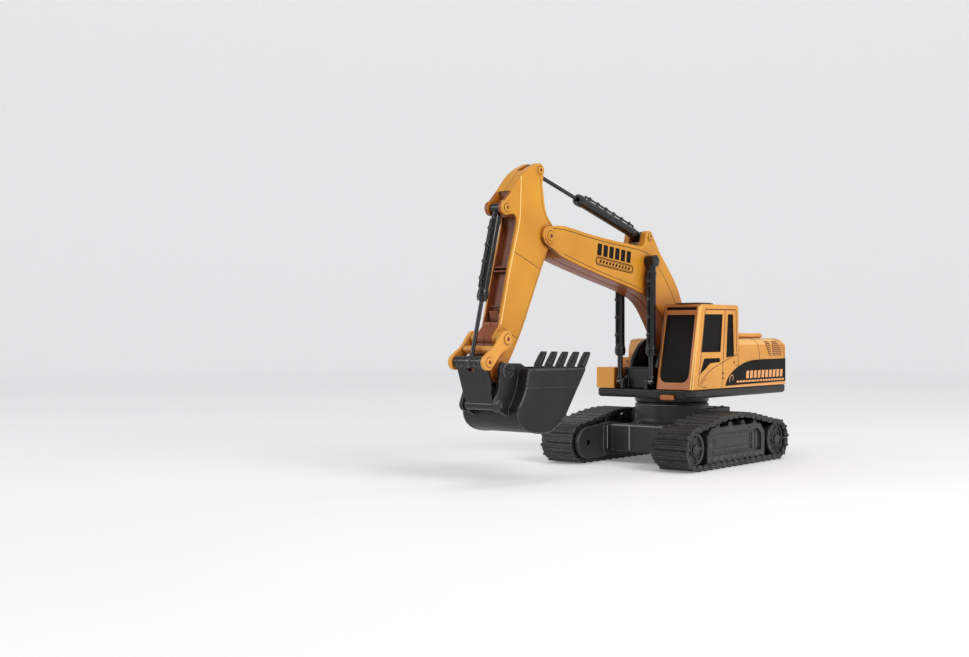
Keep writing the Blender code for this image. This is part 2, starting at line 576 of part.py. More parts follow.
head, end = TIP_RAM_HEAD, LINK_PIN
barrel = make("tip_barrel", rod_bm(p3(BOOM_X, along(head, end, 0.5)), p3(BOOM_X, along(head, end, 67.0)), 3.6, 28),
              BLACK, origin=p3(BOOM_X, head))
add(barrel, bar_x(head[0], head[1], BOOM_X - 4.6, BOOM_X + 4.6, 3.7, 28))
add(barrel, rod_bm(p3(BOOM_X, along(head, end, 60.0)), p3(BOOM_X, along(head, end, 64.5)), 4.2, 28))
pipe(barrel, head, end, BOOM_X, (-4.7, 1.2), 9.0, 58.0, clips=4)
cut(barrel, rod_bm(p3(BOOM_X, along(head, end, 7.0)), p3(BOOM_X, along(head, end, 80.0)), 1.75, 20))
cut(barrel, bar_x(head[0], head[1], BOOM_X - 9.0, BOOM_X + 9.0, 1.58, 20))
reach_b = math.hypot(end[0] - head[0], end[1] - head[1])
rod = make("tip_rod", rod_bm(p3(BOOM_X, along(head, end, reach_b - 56.0)), p3(BOOM_X, along(head, end, reach_b - 3.8)),
                             1.5, 20), SILVER, origin=p3(BOOM_X, end))
add(rod, bar_x(end[0], end[1], BOOM_X - 2.3, BOOM_X + 2.3, 4.4, 24))
cut(rod, bar_x(end[0], end[1], BOOM_X - 4.0, BOOM_X + 4.0, 3.1, 24))


# ---- arm: two half shells ----
arm_side = [(-172.4, 225.0), (-178.5, 222.4), (-186.5, 217.2), (-192.5, 211.0), (-199.0, 203.6)]
arm_side += arc(TIP_RAM_HEAD, 5.3, 100, 300, 9)
arm_side += [(-197.0, 187.6), (-193.8, 183.0), (-198.0, 165.7), (-202.9, 149.3), (-213.0, 109.0)]
arm_side += arc(ROCKER_PIN, 5.8, 160, 210, 3)
arm_side += [(-220.5, 88.0)]
arm_side += arc(BUCKET_PIN, 8.8, 150, 352, 12)
arm_side += [(-202.2, 84.6), (-199.0, 89.0), (-188.3, 106.5), (-159.9, 164.3), (-152.4, 170.5), (-151.3, 176.5), (-154.0, 182.4),
             (-159.8, 188.4), (-162.9, 195.4), (-164.2, 203.3), (-166.0, 211.0)]
arm_side += arc(ARM_RAM_END, 5.2, -30, 110, 6)
for side, s in SIDES:
    x0, x1 = BOOM_X + s * 0.15, BOOM_X + s * ARM_HALF
    shell = make(f"arm_shell_{side}", prism_bm(arm_side, x0, x1), YELLOW, origin=p3(BOOM_X, ARM_PIN))
    bevel(shell, 0.7, 1, 35.0)
    edge = BOOM_X + s * (LINK_IN - CLEAR)
    add(shell, bar_x(ROCKER_PIN[0], ROCKER_PIN[1], BOOM_X + s * 1.0, edge, 5.2, 24))
    add(shell, bar_x(BUCKET_PIN[0], BUCKET_PIN[1], BOOM_X + s * 1.0, edge - s * 0.3, 6.4, 24))
    far = BOOM_X - s * 2.0
    slot = BOOM_X + s * 2.6
    cut(shell, box_bm((min(far, slot), -182.0, 213.5), (max(far, slot), -155.0, 235.0)))
    slot = BOOM_X + s * 5.0
    cut(shell, box_bm((min(far, slot), -216.0, 178.0), (max(far, slot), -197.6, 204.0)))
    for at, r in ((ARM_PIN, 2.08), (ARM_RAM_END, 1.8), (TIP_RAM_HEAD, 1.8), (ROCKER_PIN, 2.3), (BUCKET_PIN, 2.3)):
        cut(shell, bar_x(at[0], at[1], BOOM_X - 20.0, BOOM_X + 20.0, r, 20))

pin("arm_tail_pin", ARM_RAM_END, ARM_HALF + 1.2, 1.5, 2.8, YELLOW)
pin("tip_cylinder_pin", TIP_RAM_HEAD, ARM_HALF + 1.2, 1.5, 2.8, YELLOW)


# ---- bucket linkage ----
for side, s in SIDES:
    x0, x1 = BOOM_X + s * LINK_IN, BOOM_X + s * (LINK_IN + LINK_THICK)
    a = math.degrees(math.atan2(LINK_PIN[1] - ROCKER_PIN[1], LINK_PIN[0] - ROCKER_PIN[0]))
    outline = arc(ROCKER_PIN, 5.8, a + 90, a - 90, 8)[::-1]
    outline = arc(ROCKER_PIN, 5.8, a + 90, a + 270, 8) + arc(LINK_PIN, 5.6, a - 90, a + 90, 8)
    plate = make(f"rocker_plate_{side}", prism_bm(outline, x0, x1), YELLOW, origin=p3(BOOM_X, ROCKER_PIN))
    bevel(plate, 0.5, 1, 35.0)
    for at, r in ((ROCKER_PIN, 2.08), (LINK_PIN, 1.8)):
        cut(plate, bar_x(at[0], at[1], BOOM_X - 25.0, BOOM_X + 25.0, r, 20))

mid = (-223.6, 92.8)
make("rocker_tube", bar_x(mid[0], mid[1], BOOM_X - LINK_IN + CLEAR, BOOM_X + LINK_IN - CLEAR, 2.9, 24), YELLOW,
     origin=p3(BOOM_X, mid))
pin("rocker_pivot_pin", ROCKER_PIN, LINK_IN + LINK_THICK + 1.2, 2.0, 3.4, YELLOW)
pin("link_pin", LINK_PIN, LINK_IN + LINK_THICK + 1.0, 1.5, 3.2, YELLOW)

hw = LINK_IN - CLEAR
link = make("bucket_link", bar_x(LINK_PIN[0], LINK_PIN[1], BOOM_X - hw, BOOM_X + hw, 4.0, 28), BLACK,
            origin=p3(BOOM_X, LINK_PIN))
d = Vector((BUCKET_LINK[0] - LINK_PIN[0], BUCKET_LINK[1] - LINK_PIN[1])).normalized()
n = Vector((-d.y, d.x)) * 1.6
web = [(LINK_PIN[0] + n.x, LINK_PIN[1] + n.y), (LINK_PIN[0] - n.x, LINK_PIN[1] - n.y),
       (BUCKET_LINK[0] - n.x, BUCKET_LINK[1] - n.y), (BUCKET_LINK[0] + n.x, BUCKET_LINK[1] + n.y)]
add(link, prism_bm(web, BOOM_X - hw + 0.4, BOOM_X + hw - 0.4))
add(link, bar_x(BUCKET_LINK[0], BUCKET_LINK[1], BOOM_X - hw + 0.4, BOOM_X + hw - 0.4, 3.5, 28))
cut(link, box_bm((BOOM_X - 2.8, LINK_PIN[0] - 9.0, LINK_PIN[1] - 6.4), (BOOM_X + 2.8, LINK_PIN[0] + 9.0,
                                                                         LINK_PIN[1] + 9.0)))
cut(link, bar_x(LINK_PIN[0], LINK_PIN[1], BOOM_X - 20.0, BOOM_X + 20.0, 1.58, 20))


# ---- bucket ----
b0, b1 = BOOM_X - BUCKET_HALF, BOOM_X + BUCKET_HALF
outer = [(-201.4, 79.8), (-204.4, 66.3), (-208.4, 58.2), (-212.2, 53.0), (-212.8, 47.5), (-210.0, 42.0),
         (-204.5, 38.0), (-195.0, 35.2), (-183.0, 34.3), (-176.0, 35.6), (-168.0, 39.4), (-159.7, 45.8),
         (-145.9, 65.1), (-136.4, 78.6), (-139.6, 79.2)]
inner = [(-198.6, 90.0), (-199.3, 79.0), (-202.3, 65.8), (-206.4, 57.2), (-210.0, 52.2), (-210.6, 47.8),
         (-208.2, 43.4), (-203.6, 40.0), (-194.6, 37.3), (-183.2, 36.4), (-176.8, 37.5), (-169.2, 41.2),
         (-161.4, 47.1), (-147.6, 66.4), (-138.9, 78.9), (-131.0, 90.0)]
bucket = make("bucket", prism_bm(outer, b0, b1), BLACK, origin=p3(BOOM_X, BUCKET_PIN))
bevel(bucket, 0.6, 1, 50.0)
for x in (b0 - 0.9, b1 - 0.1):
    band = [(-200.6, 79.0), (-203.6, 66.4), (-146.8, 65.6), (-138.6, 77.2), (-140.4, 78.4)]
    add(bucket, prism_bm(band, x, x + 1.0))
cut(bucket, prism_bm(inner, b0 + BUCKET_WALL, b1 - BUCKET_WALL))
ear = [(-199.5, 83.4), (-217.0, 84.0)]
ear += arc(BUCKET_PIN, 8.4, 130, 170, 2)
ear += [(-222.4, 66.0)]
ear += arc(BUCKET_LINK, 4.6, 165, 290, 6)
ear += [(-213.5, 47.0), (-210.9, 49.5), (-210.9, 52.5), (-206.9, 58.0), (-203.4, 66.0), (-200.4, 78.6),
        (-194.5, 79.2), (-194.5, 81.0)]
for s in (1, -1):
    e0, e1 = BOOM_X + s * LINK_IN, BOOM_X + s * (LINK_IN + LINK_THICK)
    add(bucket, prism_bm(ear, min(e0, e1), max(e0, e1)))
cut(bucket, bar_x(BUCKET_PIN[0], BUCKET_PIN[1], BOOM_X - 20.0, BOOM_X + 20.0, 2.08, 20))
pin("bucket_pin", BUCKET_PIN, LINK_IN + LINK_THICK + 1.2, 2.0, 3.4, BLACK)

TEETH = 5
lip_dir = Vector((-136.4 + 145.9, 78.6 - 65.1)).normalized()
lip_nrm = Vector((-lip_dir.y, lip_dir.x))
root = Vector((-137.6, 79.0)) + lip_dir * 0.55
for k in range(TEETH):
    x = BOOM_X + (k - (TEETH - 1) / 2) * (2 * BUCKET_HALF - 8.6) / (TEETH - 1)
    pts = []
    for along_lip, across in ((0.0, -1.6), (9.0, -1.3), (13.4, -0.3), (13.4, 0.5), (9.0, 1.4), (0.0, 1.6)):
        q = root + lip_dir * along_lip + lip_nrm * across
        pts.append((q.x, q.y))
    tooth = make(f"bucket_tooth_{k + 1}", prism_bm(pts, x - 2.9, x + 2.9), BLACK, origin=(x, root.x, root.y))
    slot = []
    for along_lip, across in ((3.0, -3.0), (10.6, -3.0), (10.6, 3.0), (3.0, 3.0)):
        q = root + lip_dir * along_lip + lip_nrm * across
        slot.append((q.x, q.y))
    cut(tooth, prism_bm(slot, x - 0.8, x + 0.8))
    bevel(tooth, 0.25, 1)


# ---- move the slew axis to its place behind the middle ----
for ob in list(main.objects) + list(tools.objects):
    ob.location.y += SLEW_Y * MM
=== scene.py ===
"""Looks of the toy tracked excavator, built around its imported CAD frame.

Shapes are drawn in millimetres about the slew axis (x = 0, y = 0), with the front at -Y, up at +Z and the cab
on +X. settle() turns them into metres and moves them to the slew axis of the frame."""

import json
import math

import bmesh
import bpy
from mathutils import Matrix, Vector


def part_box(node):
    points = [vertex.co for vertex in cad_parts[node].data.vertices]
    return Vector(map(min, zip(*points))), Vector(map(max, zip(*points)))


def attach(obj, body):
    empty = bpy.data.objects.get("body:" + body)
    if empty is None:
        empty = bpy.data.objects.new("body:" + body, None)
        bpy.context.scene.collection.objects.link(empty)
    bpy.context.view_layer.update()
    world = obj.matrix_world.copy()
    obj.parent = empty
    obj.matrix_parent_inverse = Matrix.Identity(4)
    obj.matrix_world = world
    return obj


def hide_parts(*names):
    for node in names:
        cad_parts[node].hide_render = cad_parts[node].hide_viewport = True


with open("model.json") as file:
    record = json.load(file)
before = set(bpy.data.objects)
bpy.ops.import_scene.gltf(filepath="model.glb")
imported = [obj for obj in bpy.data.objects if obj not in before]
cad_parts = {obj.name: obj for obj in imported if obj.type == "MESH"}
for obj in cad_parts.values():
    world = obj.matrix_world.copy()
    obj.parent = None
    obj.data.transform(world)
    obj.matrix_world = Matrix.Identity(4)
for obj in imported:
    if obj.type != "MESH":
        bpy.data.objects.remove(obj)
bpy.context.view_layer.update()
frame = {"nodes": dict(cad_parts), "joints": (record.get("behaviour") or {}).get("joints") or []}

MM = 0.001
JOINTS = {j["name"]: j for j in frame["joints"]}
HOME = Vector((JOINTS["slew"]["pos_m"][0], JOINTS["slew"]["pos_m"][1], 0.0))
SIDES = (("right", 1.0), ("left", -1.0))


def pivot(joint):
    """The y and z of a hinge, in millimetres from the slew axis."""
    p = Vector(JOINTS[joint]["pos_m"]) - HOME
    return (p.y / MM, p.z / MM)


def room(node):
    """Lowest and highest corner of a CAD node, in millimetres from the slew axis."""
    lo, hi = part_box(node)
    return (lo - HOME) / MM, (hi - HOME) / MM


# ---- where the frame says things are ----
FOOT = pivot("boom_lift")
RAM_FOOT = pivot("boom_cylinder_tilt_right")
ARM_PIN = pivot("arm_swing")
ARM_RAM_HEAD = pivot("arm_cylinder_tilt")
BUCKET_PIN = pivot("bucket_curl")
ROCKER_PIN = pivot("rocker_swing")
LINK_PIN = pivot("link_swing")
TIP_RAM_HEAD = pivot("tip_cylinder_tilt")
BOOM_X = (JOINTS["boom_lift"]["pos_m"][0]) / MM
IDLER_Y = pivot("idler_right")[0]
SPROCKET_Y, WHEEL_Z = pivot("sprocket_right")


def middle(node):
    lo, hi = room(node)
    return ((lo.y + hi.y) / 2, (lo.z + hi.z) / 2)


RAM_HEAD = middle("boom_cylinder_pin")
ARM_RAM_END = middle("arm_tail_pin")
BELT_LO, BELT_HI = room("track_belt_right")
CAB_LO, CAB_HI = room("cab_shell")
BODY_HI = room("body_shell")[1]
DECK_LO, DECK_HI = room("deck")
BUCKET_LINK = (-222.0, 55.0)

# ---- sizes the pieces share ----
WHEEL_R = WHEEL_Z      # the belt's outside, from the wheel's centre
TOP_RISE = 8.6         # how far the top run of the belt bows up
SHOES = 40             # shoes on one belt
BOOM_HALF = 11.0       # half width of the boom
ARM_HALF = 8.2         # half width of the arm
LINK_IN = 13.6         # inner face of the rocker plates and bucket ears, from the boom's middle
LINK_THICK = 3.0
ROCKER_R = 5.8         # round end of the rocker and of the arm's lug beside it
RAM_X = 15.4           # the boom cylinders, from the boom's middle
HOOD_TOP = 99.5
SLIT = 0.06            # half the gap between two glued halves
PRINT_IN = 0.05        # how deep a print sits in a face, and how far it stands out
PRINT_OUT = 0.14
FIELD_OUT = 0.12
TURNED_SIDES = 96      # sides of the large turned shapes
BIG_BORE = 2.3         # bores of the stout and the slim pins
SMALL_BORE = 1.8
WELD_DISTANCE = 0.002  # points nearer than this become one
FACE_WEIGHT = 80       # how strongly large faces steer the shading
DEG = math.radians


# ---- shader node groups ----
def group(name, ins, outs):
    """An empty shader group with named sockets: returns the group, its input node and its output node."""
    tree = bpy.data.node_groups.new(name, "ShaderNodeTree")
    for label, value in ins:
        kind = "NodeSocketColor" if isinstance(value, tuple) else "NodeSocketFloat"
        tree.interface.new_socket(name=label, in_out="INPUT", socket_type=kind).default_value = value
    for label, kind in outs:
        tree.interface.new_socket(name=label, in_out="OUTPUT", socket_type="NodeSocket" + kind)
    return tree, tree.nodes.new("NodeGroupInput"), tree.nodes.new("NodeGroupOutput")


def feed(tree, socket, value):
    """Gives a shader input a number or a colour, or links it."""
    if isinstance(value, (int, float)):
        socket.default_value = value
    elif isinstance(value, tuple):
        socket.default_value = (*value, 1.0)
    else:
        tree.links.new(value, socket)


def math_node(tree, op, a, b, clamp=False):
    """A sum or a product of two values."""
    node = tree.nodes.new("ShaderNodeMath")
    node.operation = op
    node.use_clamp = clamp
    feed(tree, node.inputs[0], a)
    feed(tree, node.inputs[1], b)
    return node.outputs[0]


def span_node(tree, value, lo, hi, out_lo=0.0, out_hi=1.0):
    """A value stretched from one range to another."""
    node = tree.nodes.new("ShaderNodeMapRange")
    tree.links.new(value, node.inputs["Value"])
    for label, number in (("From Min", lo), ("From Max", hi), ("To Min", out_lo), ("To Max", out_hi)):
        feed(tree, node.inputs[label], number)
    return node.outputs["Result"]


def noise_node(tree, scale, detail, rough=0.5):
    """Soft noise that stays with the object."""
    place = tree.nodes.new("ShaderNodeTexCoord").outputs["Object"]
    node = tree.nodes.new("ShaderNodeTexNoise")
    tree.links.new(place, node.inputs["Vector"])
    feed(tree, node.inputs["Scale"], scale)
    node.inputs["Detail"].default_value = detail
    node.inputs["Roughness"].default_value = rough
    return node.outputs["Fac"]


def make_soft_edges():
    """Rounds the shading of sharp edges and gives a mask of where they are."""
    tree, gin, gout = group("soft_edges", [("Radius", 0.0004)], [("Normal", "Vector"), ("Edge", "Float")])
    bev = tree.nodes.new("ShaderNodeBevel")
    bev.samples = 4
    tree.links.new(gin.outputs["Radius"], bev.inputs["Radius"])
    geo = tree.nodes.new("ShaderNodeNewGeometry")
    dot = tree.nodes.new("ShaderNodeVectorMath")
    dot.operation = "DOT_PRODUCT"
    tree.links.new(bev.outputs["Normal"], dot.inputs[0])
    tree.links.new(geo.outputs["Normal"], dot.inputs[1])
    gap = math_node(tree, "SUBTRACT", 1.0, dot.outputs["Value"])
    tree.links.new(bev.outputs["Normal"], gout.inputs["Normal"])
    tree.links.new(span_node(tree, gap, 0.01, 0.16), gout.inputs["Edge"])
    return tree


def make_grain():
    """Fine spark-eroded mould texture, and a slow drift of tone over the part."""
    tree, gin, gout = group("mould_grain", [("Fineness", 2600.0), ("Drift", 26.0)],
                            [("Height", "Float"), ("Tone", "Float")])
    fine = noise_node(tree, gin.outputs["Fineness"], 3.0, 0.6)
    slow = noise_node(tree, gin.outputs["Drift"], 2.0, 0.45)
    tree.links.new(fine, gout.inputs["Height"])
    tree.links.new(span_node(tree, slow, 0.3, 0.7), gout.inputs["Tone"])
    return tree


def make_edge_wear_and_highlight():
    """Breaks an edge mask into worn patches: worn edges and painted edge highlight."""
    tree, gin, gout = group("edge_wear_and_highlight", [("Edge", 0.0), ("Amount", 0.6), ("Patches", 420.0)],
                            [("Mask", "Float")])
    patch = span_node(tree, noise_node(tree, gin.outputs["Patches"], 4.0, 0.65), 0.34, 0.62)
    worn = math_node(tree, "MULTIPLY", patch, gin.outputs["Edge"])
    tree.links.new(math_node(tree, "MULTIPLY", worn, gin.outputs["Amount"], True), gout.inputs["Mask"])
    return tree


def make_painted_corner_shade():
    """Painted shade: where surfaces meet, ambient occlusion turns the finish darker in colour."""
    tree, gin, gout = group("painted_corner_shade", [("Reach", 0.006), ("Amount", 0.8)], [("Mask", "Float")])
    ao = tree.nodes.new("ShaderNodeAmbientOcclusion")
    ao.samples = 4
    tree.links.new(gin.outputs["Reach"], ao.inputs["Distance"])
    shut = math_node(tree, "SUBTRACT", 1.0, ao.outputs["AO"])
    tree.links.new(math_node(tree, "MULTIPLY", shut, gin.outputs["Amount"], True), gout.inputs["Mask"])
    return tree


def make_dust():
    """A little dust lying on what faces up."""
    tree, gin, gout = group("resting_dust", [("Amount", 0.2)], [("Mask", "Float")])
    geo = tree.nodes.new("ShaderNodeNewGeometry")
    split = tree.nodes.new("ShaderNodeSeparateXYZ")
    tree.links.new(geo.outputs["Normal"], split.inputs[0])
    up = span_node(tree, split.outputs["Z"], 0.25, 0.95)
    spots = span_node(tree, noise_node(tree, 310.0, 5.0, 0.7), 0.38, 0.7)
    both = math_node(tree, "MULTIPLY", up, spots)
    tree.links.new(math_node(tree, "MULTIPLY", both, gin.outputs["Amount"], True), gout.inputs["Mask"])
    return tree


SLOW_DRIFT = 26.0
DUST_COLOUR = (0.30, 0.28, 0.25)
SOFT_EDGES = make_soft_edges()
GRAIN = make_grain()
EDGE_WEAR_AND_HIGHLIGHT = make_edge_wear_and_highlight()
PAINTED_CORNER_SHADE = make_painted_corner_shade()
DUST = make_dust()


def placed(tree, which, **values):
    """A group put into a finish, with its values set."""
    node = tree.nodes.new("ShaderNodeGroup")
    node.node_tree = which
    for label, value in values.items():
        node.inputs[label].default_value = value
    return node


def blend_colour(tree, mask, a, b):
    """One colour going over into another where the mask is bright."""
    node = tree.nodes.new("ShaderNodeMix")
    node.data_type = "RGBA"
    tree.links.new(mask, node.inputs[0])
    feed(tree, node.inputs[6], a)
    feed(tree, node.inputs[7], b)
    return node.outputs[2]


def finish(name, base, tone_and_shade_colour, pale, rough, metallic=0.0, coat=0.0, fineness=2600.0, depth=0.06, radius=0.0004,
           wear_and_highlight_amount=0.6, dust=0.0, corners=0.8, reach=0.006, drift_share=0.35, spread=0.08, specular=0.5):
    """A moulded, cast or plated finish.

    It has its base colour, a deeper colour in corners that is painted shade (corners and reach set it), and a
    paler one on edges that is worn and painted highlight."""
    mat = bpy.data.materials.new(name)
    mat.use_nodes = True
    tree = mat.node_tree
    shader = tree.nodes["Principled BSDF"]
    shader.inputs["Metallic"].default_value = metallic
    shader.inputs["Coat Weight"].default_value = coat
    shader.inputs["Coat Roughness"].default_value = 0.12
    shader.inputs["Specular IOR Level"].default_value = specular
    edges = placed(tree, SOFT_EDGES, Radius=radius)
    grain = placed(tree, GRAIN, Fineness=fineness, Drift=SLOW_DRIFT)
    worn_and_highlit = placed(tree, EDGE_WEAR_AND_HIGHLIGHT, Amount=wear_and_highlight_amount)
    tree.links.new(edges.outputs["Edge"], worn_and_highlit.inputs["Edge"])
    corner_shade = placed(tree, PAINTED_CORNER_SHADE, Reach=reach, Amount=corners)
    tone = math_node(tree, "MULTIPLY", grain.outputs["Tone"], drift_share, True)
    colour = blend_colour(tree, tone, base, tone_and_shade_colour)
    # painted shade: the colour goes darker where surfaces meet
    colour = blend_colour(tree, corner_shade.outputs["Mask"], colour, tone_and_shade_colour)
    # worn edges and painted highlight: edges turn paler
    colour = blend_colour(tree, worn_and_highlit.outputs["Mask"], colour, pale)
    if dust:
        settled = placed(tree, DUST, Amount=dust)
        colour = blend_colour(tree, settled.outputs["Mask"], colour, DUST_COLOUR)
    tree.links.new(colour, shader.inputs["Base Color"])
    tree.links.new(span_node(tree, grain.outputs["Tone"], 0.0, 1.0, rough - spread, rough + spread),
                   shader.inputs["Roughness"])
    bump = tree.nodes.new("ShaderNodeBump")
    bump.inputs["Strength"].default_value = depth
    bump.inputs["Distance"].default_value = 0.0004
    tree.links.new(grain.outputs["Height"], bump.inputs["Height"])
    tree.links.new(edges.outputs["Normal"], bump.inputs["Normal"])
    tree.links.new(bump.outputs["Normal"], shader.inputs["Normal"])
    return mat


MUSTARD = finish("mustard_shell", (0.75, 0.335, 0.040), (0.36, 0.088, 0.010), (0.97, 0.62, 0.20), 0.36,
                 coat=0.12, reach=0.014, corners=1.25)
DEEP_MUSTARD = finish("deep_mustard_shell", (0.66, 0.292, 0.015), (0.30, 0.068, 0.005),
                      (0.97, 0.60, 0.17), 0.36, coat=0.10, reach=0.018, corners=1.35, wear_and_highlight_amount=0.75,
                      specular=0.40)
# a paler copy of the mustard, painted highlight: for the cab's corner post and top chamfer and the hood's
# shoulder
PAINTED_HIGHLIGHT_MUSTARD = finish("painted_highlight_mustard", (0.84, 0.470, 0.135), (0.60, 0.240, 0.050),
                      (0.98, 0.74, 0.40), 0.34, coat=0.12)
# a darker copy of the mustard, painted shade: for faces turned to the front and for the front step
PAINTED_SHADE_AMBER = finish("amber_painted_shade", (0.42, 0.120, 0.016), (0.19, 0.042, 0.008), (0.80, 0.36, 0.08), 0.40, coat=0.08,
               reach=0.014, corners=1.2)
# a darker copy of the mustard, painted shade: for faces turned down and the arm's channel
PAINTED_SHADE_DARK_AMBER = finish("dark_amber_painted_shade", (0.30, 0.070, 0.010), (0.10, 0.020, 0.005), (0.72, 0.28, 0.06),
                    0.40, coat=0.08, reach=0.016, corners=1.3, specular=0.40)
RUST_LINE = finish("rust_line", (0.20, 0.040, 0.010), (0.10, 0.020, 0.006), (0.40, 0.12, 0.03), 0.45)
# a paler mustard, painted highlight: for the bead along the arm's front edge
PAINTED_HIGHLIGHT_RIM = finish("painted_highlight_rim", (0.93, 0.58, 0.20), (0.80, 0.36, 0.06), (1.0, 0.80, 0.45), 0.34, coat=0.1)
JET = finish("jet_plastic", (0.013, 0.0127, 0.0125), (0.003, 0.003, 0.003), (0.17, 0.17, 0.175), 0.36,
             coat=0.05, dust=0.04, wear_and_highlight_amount=0.8, radius=0.0005, drift_share=0.5, specular=0.35, reach=0.010,
             corners=1.1)
JET_GLOSS = finish("jet_cylinder", (0.007, 0.007, 0.007), (0.002, 0.002, 0.002), (0.26, 0.26, 0.26), 0.16,
                   coat=0.22, wear_and_highlight_amount=0.7, fineness=3400.0, depth=0.02, specular=0.30)
UNDER_JET = finish("under_jet_plastic", (0.028, 0.0275, 0.027), (0.007, 0.007, 0.007), (0.26, 0.26, 0.26),
                   0.38, coat=0.04, dust=0.05, wear_and_highlight_amount=1.0, radius=0.0006, drift_share=0.5, specular=0.40,
                   reach=0.008, corners=1.0)
# pale grey, painted highlight: for strips that stand in for light caught on black edges
PAINTED_GLINT = finish("painted_glint_edge", (0.30, 0.30, 0.305), (0.12, 0.12, 0.12), (0.55, 0.55, 0.56), 0.28,
               coat=0.2, wear_and_highlight_amount=0.8)
SHOE_BLACK = finish("shoe_black", (0.024, 0.0235, 0.023), (0.005, 0.005, 0.005), (0.24, 0.24, 0.24), 0.42,
                    dust=0.05, wear_and_highlight_amount=1.0, fineness=1500.0, depth=0.16, drift_share=0.6, specular=0.35)
BUCKET_BLACK = finish("bucket_black", (0.0135, 0.0132, 0.013), (0.004, 0.004, 0.004), (0.30, 0.30, 0.30),
                      0.40, dust=0.04, wear_and_highlight_amount=0.95, fineness=1900.0, depth=0.12, radius=0.0006,
                      drift_share=0.6, specular=0.35)
WINDOW = finish("smoked_window", (0.0075, 0.0070, 0.0055), (0.003, 0.003, 0.002), (0.03, 0.03, 0.03), 0.42,
                wear_and_highlight_amount=0.2, fineness=1300.0, depth=0.10, spread=0.06, specular=0.07)
SLOT_BLACK = finish("slot_black", (0.008, 0.007, 0.006), (0.003, 0.003, 0.003), (0.03, 0.03, 0.03), 0.60,
                    wear_and_highlight_amount=0.2)
CHROME = finish("dark_chrome", (0.075, 0.075, 0.08), (0.03, 0.03, 0.03), (0.45, 0.45, 0.47), 0.18,
                metallic=1.0, wear_and_highlight_amount=0.5, fineness=5000.0, depth=0.02, spread=0.05)
STEEL = finish("bright_steel", (0.66, 0.66, 0.68), (0.36, 0.36, 0.38), (0.90, 0.90, 0.92), 0.24, metallic=1.0,
               wear_and_highlight_amount=0.5, fineness=3200.0, depth=0.04)
INK = finish("black_ink", (0.0075, 0.0070, 0.006), (0.003, 0.003, 0.003), (0.03, 0.03, 0.03), 0.46,
             wear_and_highlight_amount=0.2, specular=0.10)
ORANGE_INK = finish("orange_ink", (0.86, 0.40, 0.14), (0.62, 0.22, 0.06), (0.95, 0.60, 0.30), 0.40, wear_and_highlight_amount=0.3)
BOARD = finish("board_green", (0.015, 0.15, 0.05), (0.005, 0.05, 0.02), (0.30, 0.38, 0.25), 0.42)
CELL = finish("cell_wrap", (0.03, 0.08, 0.32), (0.01, 0.03, 0.12), (0.20, 0.30, 0.60), 0.30, coat=0.4)


# ---- mesh making ----
def pushed(corners, axis, end):
    """A flat outline pushed along one axis into a closed solid."""
    bm = bmesh.new()
    face = bm.faces.new([bm.verts.new(c) for c in corners])
    for v in bmesh.ops.extrude_face_region(bm, geom=[face])["geom"]:
        if isinstance(v, bmesh.types.BMVert):
            v.co[axis] = end
    bmesh.ops.recalc_face_normals(bm, faces=bm.faces)
    return bm


def prism(points, x0, x1):
    """A side outline of (y, z) points pushed along X."""
    return pushed([(x0, y, z) for y, z in points], 0, x1)


def front_plate(points, y0, y1):
    """A front outline of (x, z) points pushed along Y."""
    return pushed([(x, y0, z) for x, z in points], 1, y1)


def slab(points, z0, z1):
    """A plan outline of (x, y) points pushed along Z."""
    return pushed([(x, y, z0) for x, y in points], 2, z1)


def block(lo, hi):
    """A box between two corners, given in any order."""
    lo, hi = [min(a, b) for a, b in zip(lo, hi)], [max(a, b) for a, b in zip(lo, hi)]
    return slab([(lo[0], lo[1]), (hi[0], lo[1]), (hi[0], hi[1]), (lo[0], hi[1])], lo[2], hi[2])


def turned(profile, start, end, seg=40):
    """A (radius, distance) profile turned about the line from start towards end. A closed solid."""
    bm = bmesh.new()
    start, end = Vector(start), Vector(end)
    rows = []
    for r, h in profile:
        if r < 1e-6:
            rows.append([bm.verts.new((0, 0, h))])
        else:
            rows.append([bm.verts.new((r * math.cos(2 * math.pi * i / seg),
                                       r * math.sin(2 * math.pi * i / seg), h)) for i in range(seg)])
    closed = len(rows[0]) > 1 and len(rows[-1]) > 1
    for a, b in zip(rows, rows[1:] + rows[:1] if closed else rows[1:]):
        for i in range(seg):
            j = (i + 1) % seg
            if len(a) == 1 and len(b) == 1:
                continue
            if len(a) == 1:
                bm.faces.new([a[0], b[i], b[j]])
            elif len(b) == 1:
                bm.faces.new([a[i], b[0], a[j]])
            else:
                bm.faces.new([a[i], b[i], b[j], a[j]])
    turn = Vector((0, 0, 1)).rotation_difference((end - start).normalized()).to_matrix().to_4x4()
    bmesh.ops.transform(bm, matrix=Matrix.Translation(start) @ turn, verts=bm.verts)
    bmesh.ops.recalc_face_normals(bm, faces=bm.faces)
    return bm


def rod(a, b, r, seg=28, edge=0.0):
    """A round bar from a to b with eased ends."""
    length = (Vector(b) - Vector(a)).length
    prof = [(0, 0), (r, 0), (r, length), (0, length)]
    if edge:
        in_a_bit = edge * 0.3
        prof = [(0, 0), (r - edge, 0), (r - in_a_bit, in_a_bit), (r, edge), (r, length - edge),
                (r - in_a_bit, length - in_a_bit), (r - edge, length), (0, length)]
    return turned(prof, a, b, seg)


def through(at, r, seg=24, reach=20.0):
    """A rod across the boom and what hangs on it, for boring a pin hole."""
    return rod(p3(BOOM_X - reach, at), p3(BOOM_X + reach, at), r, seg)


def round_off(bm, edges, width, segments, clamp=False):
    """Rounds some edges of a solid."""
    bmesh.ops.bevel(bm, geom=edges, offset=width, offset_type="OFFSET", segments=segments, profile=0.5,
                    affect="EDGES", clamp_overlap=clamp)


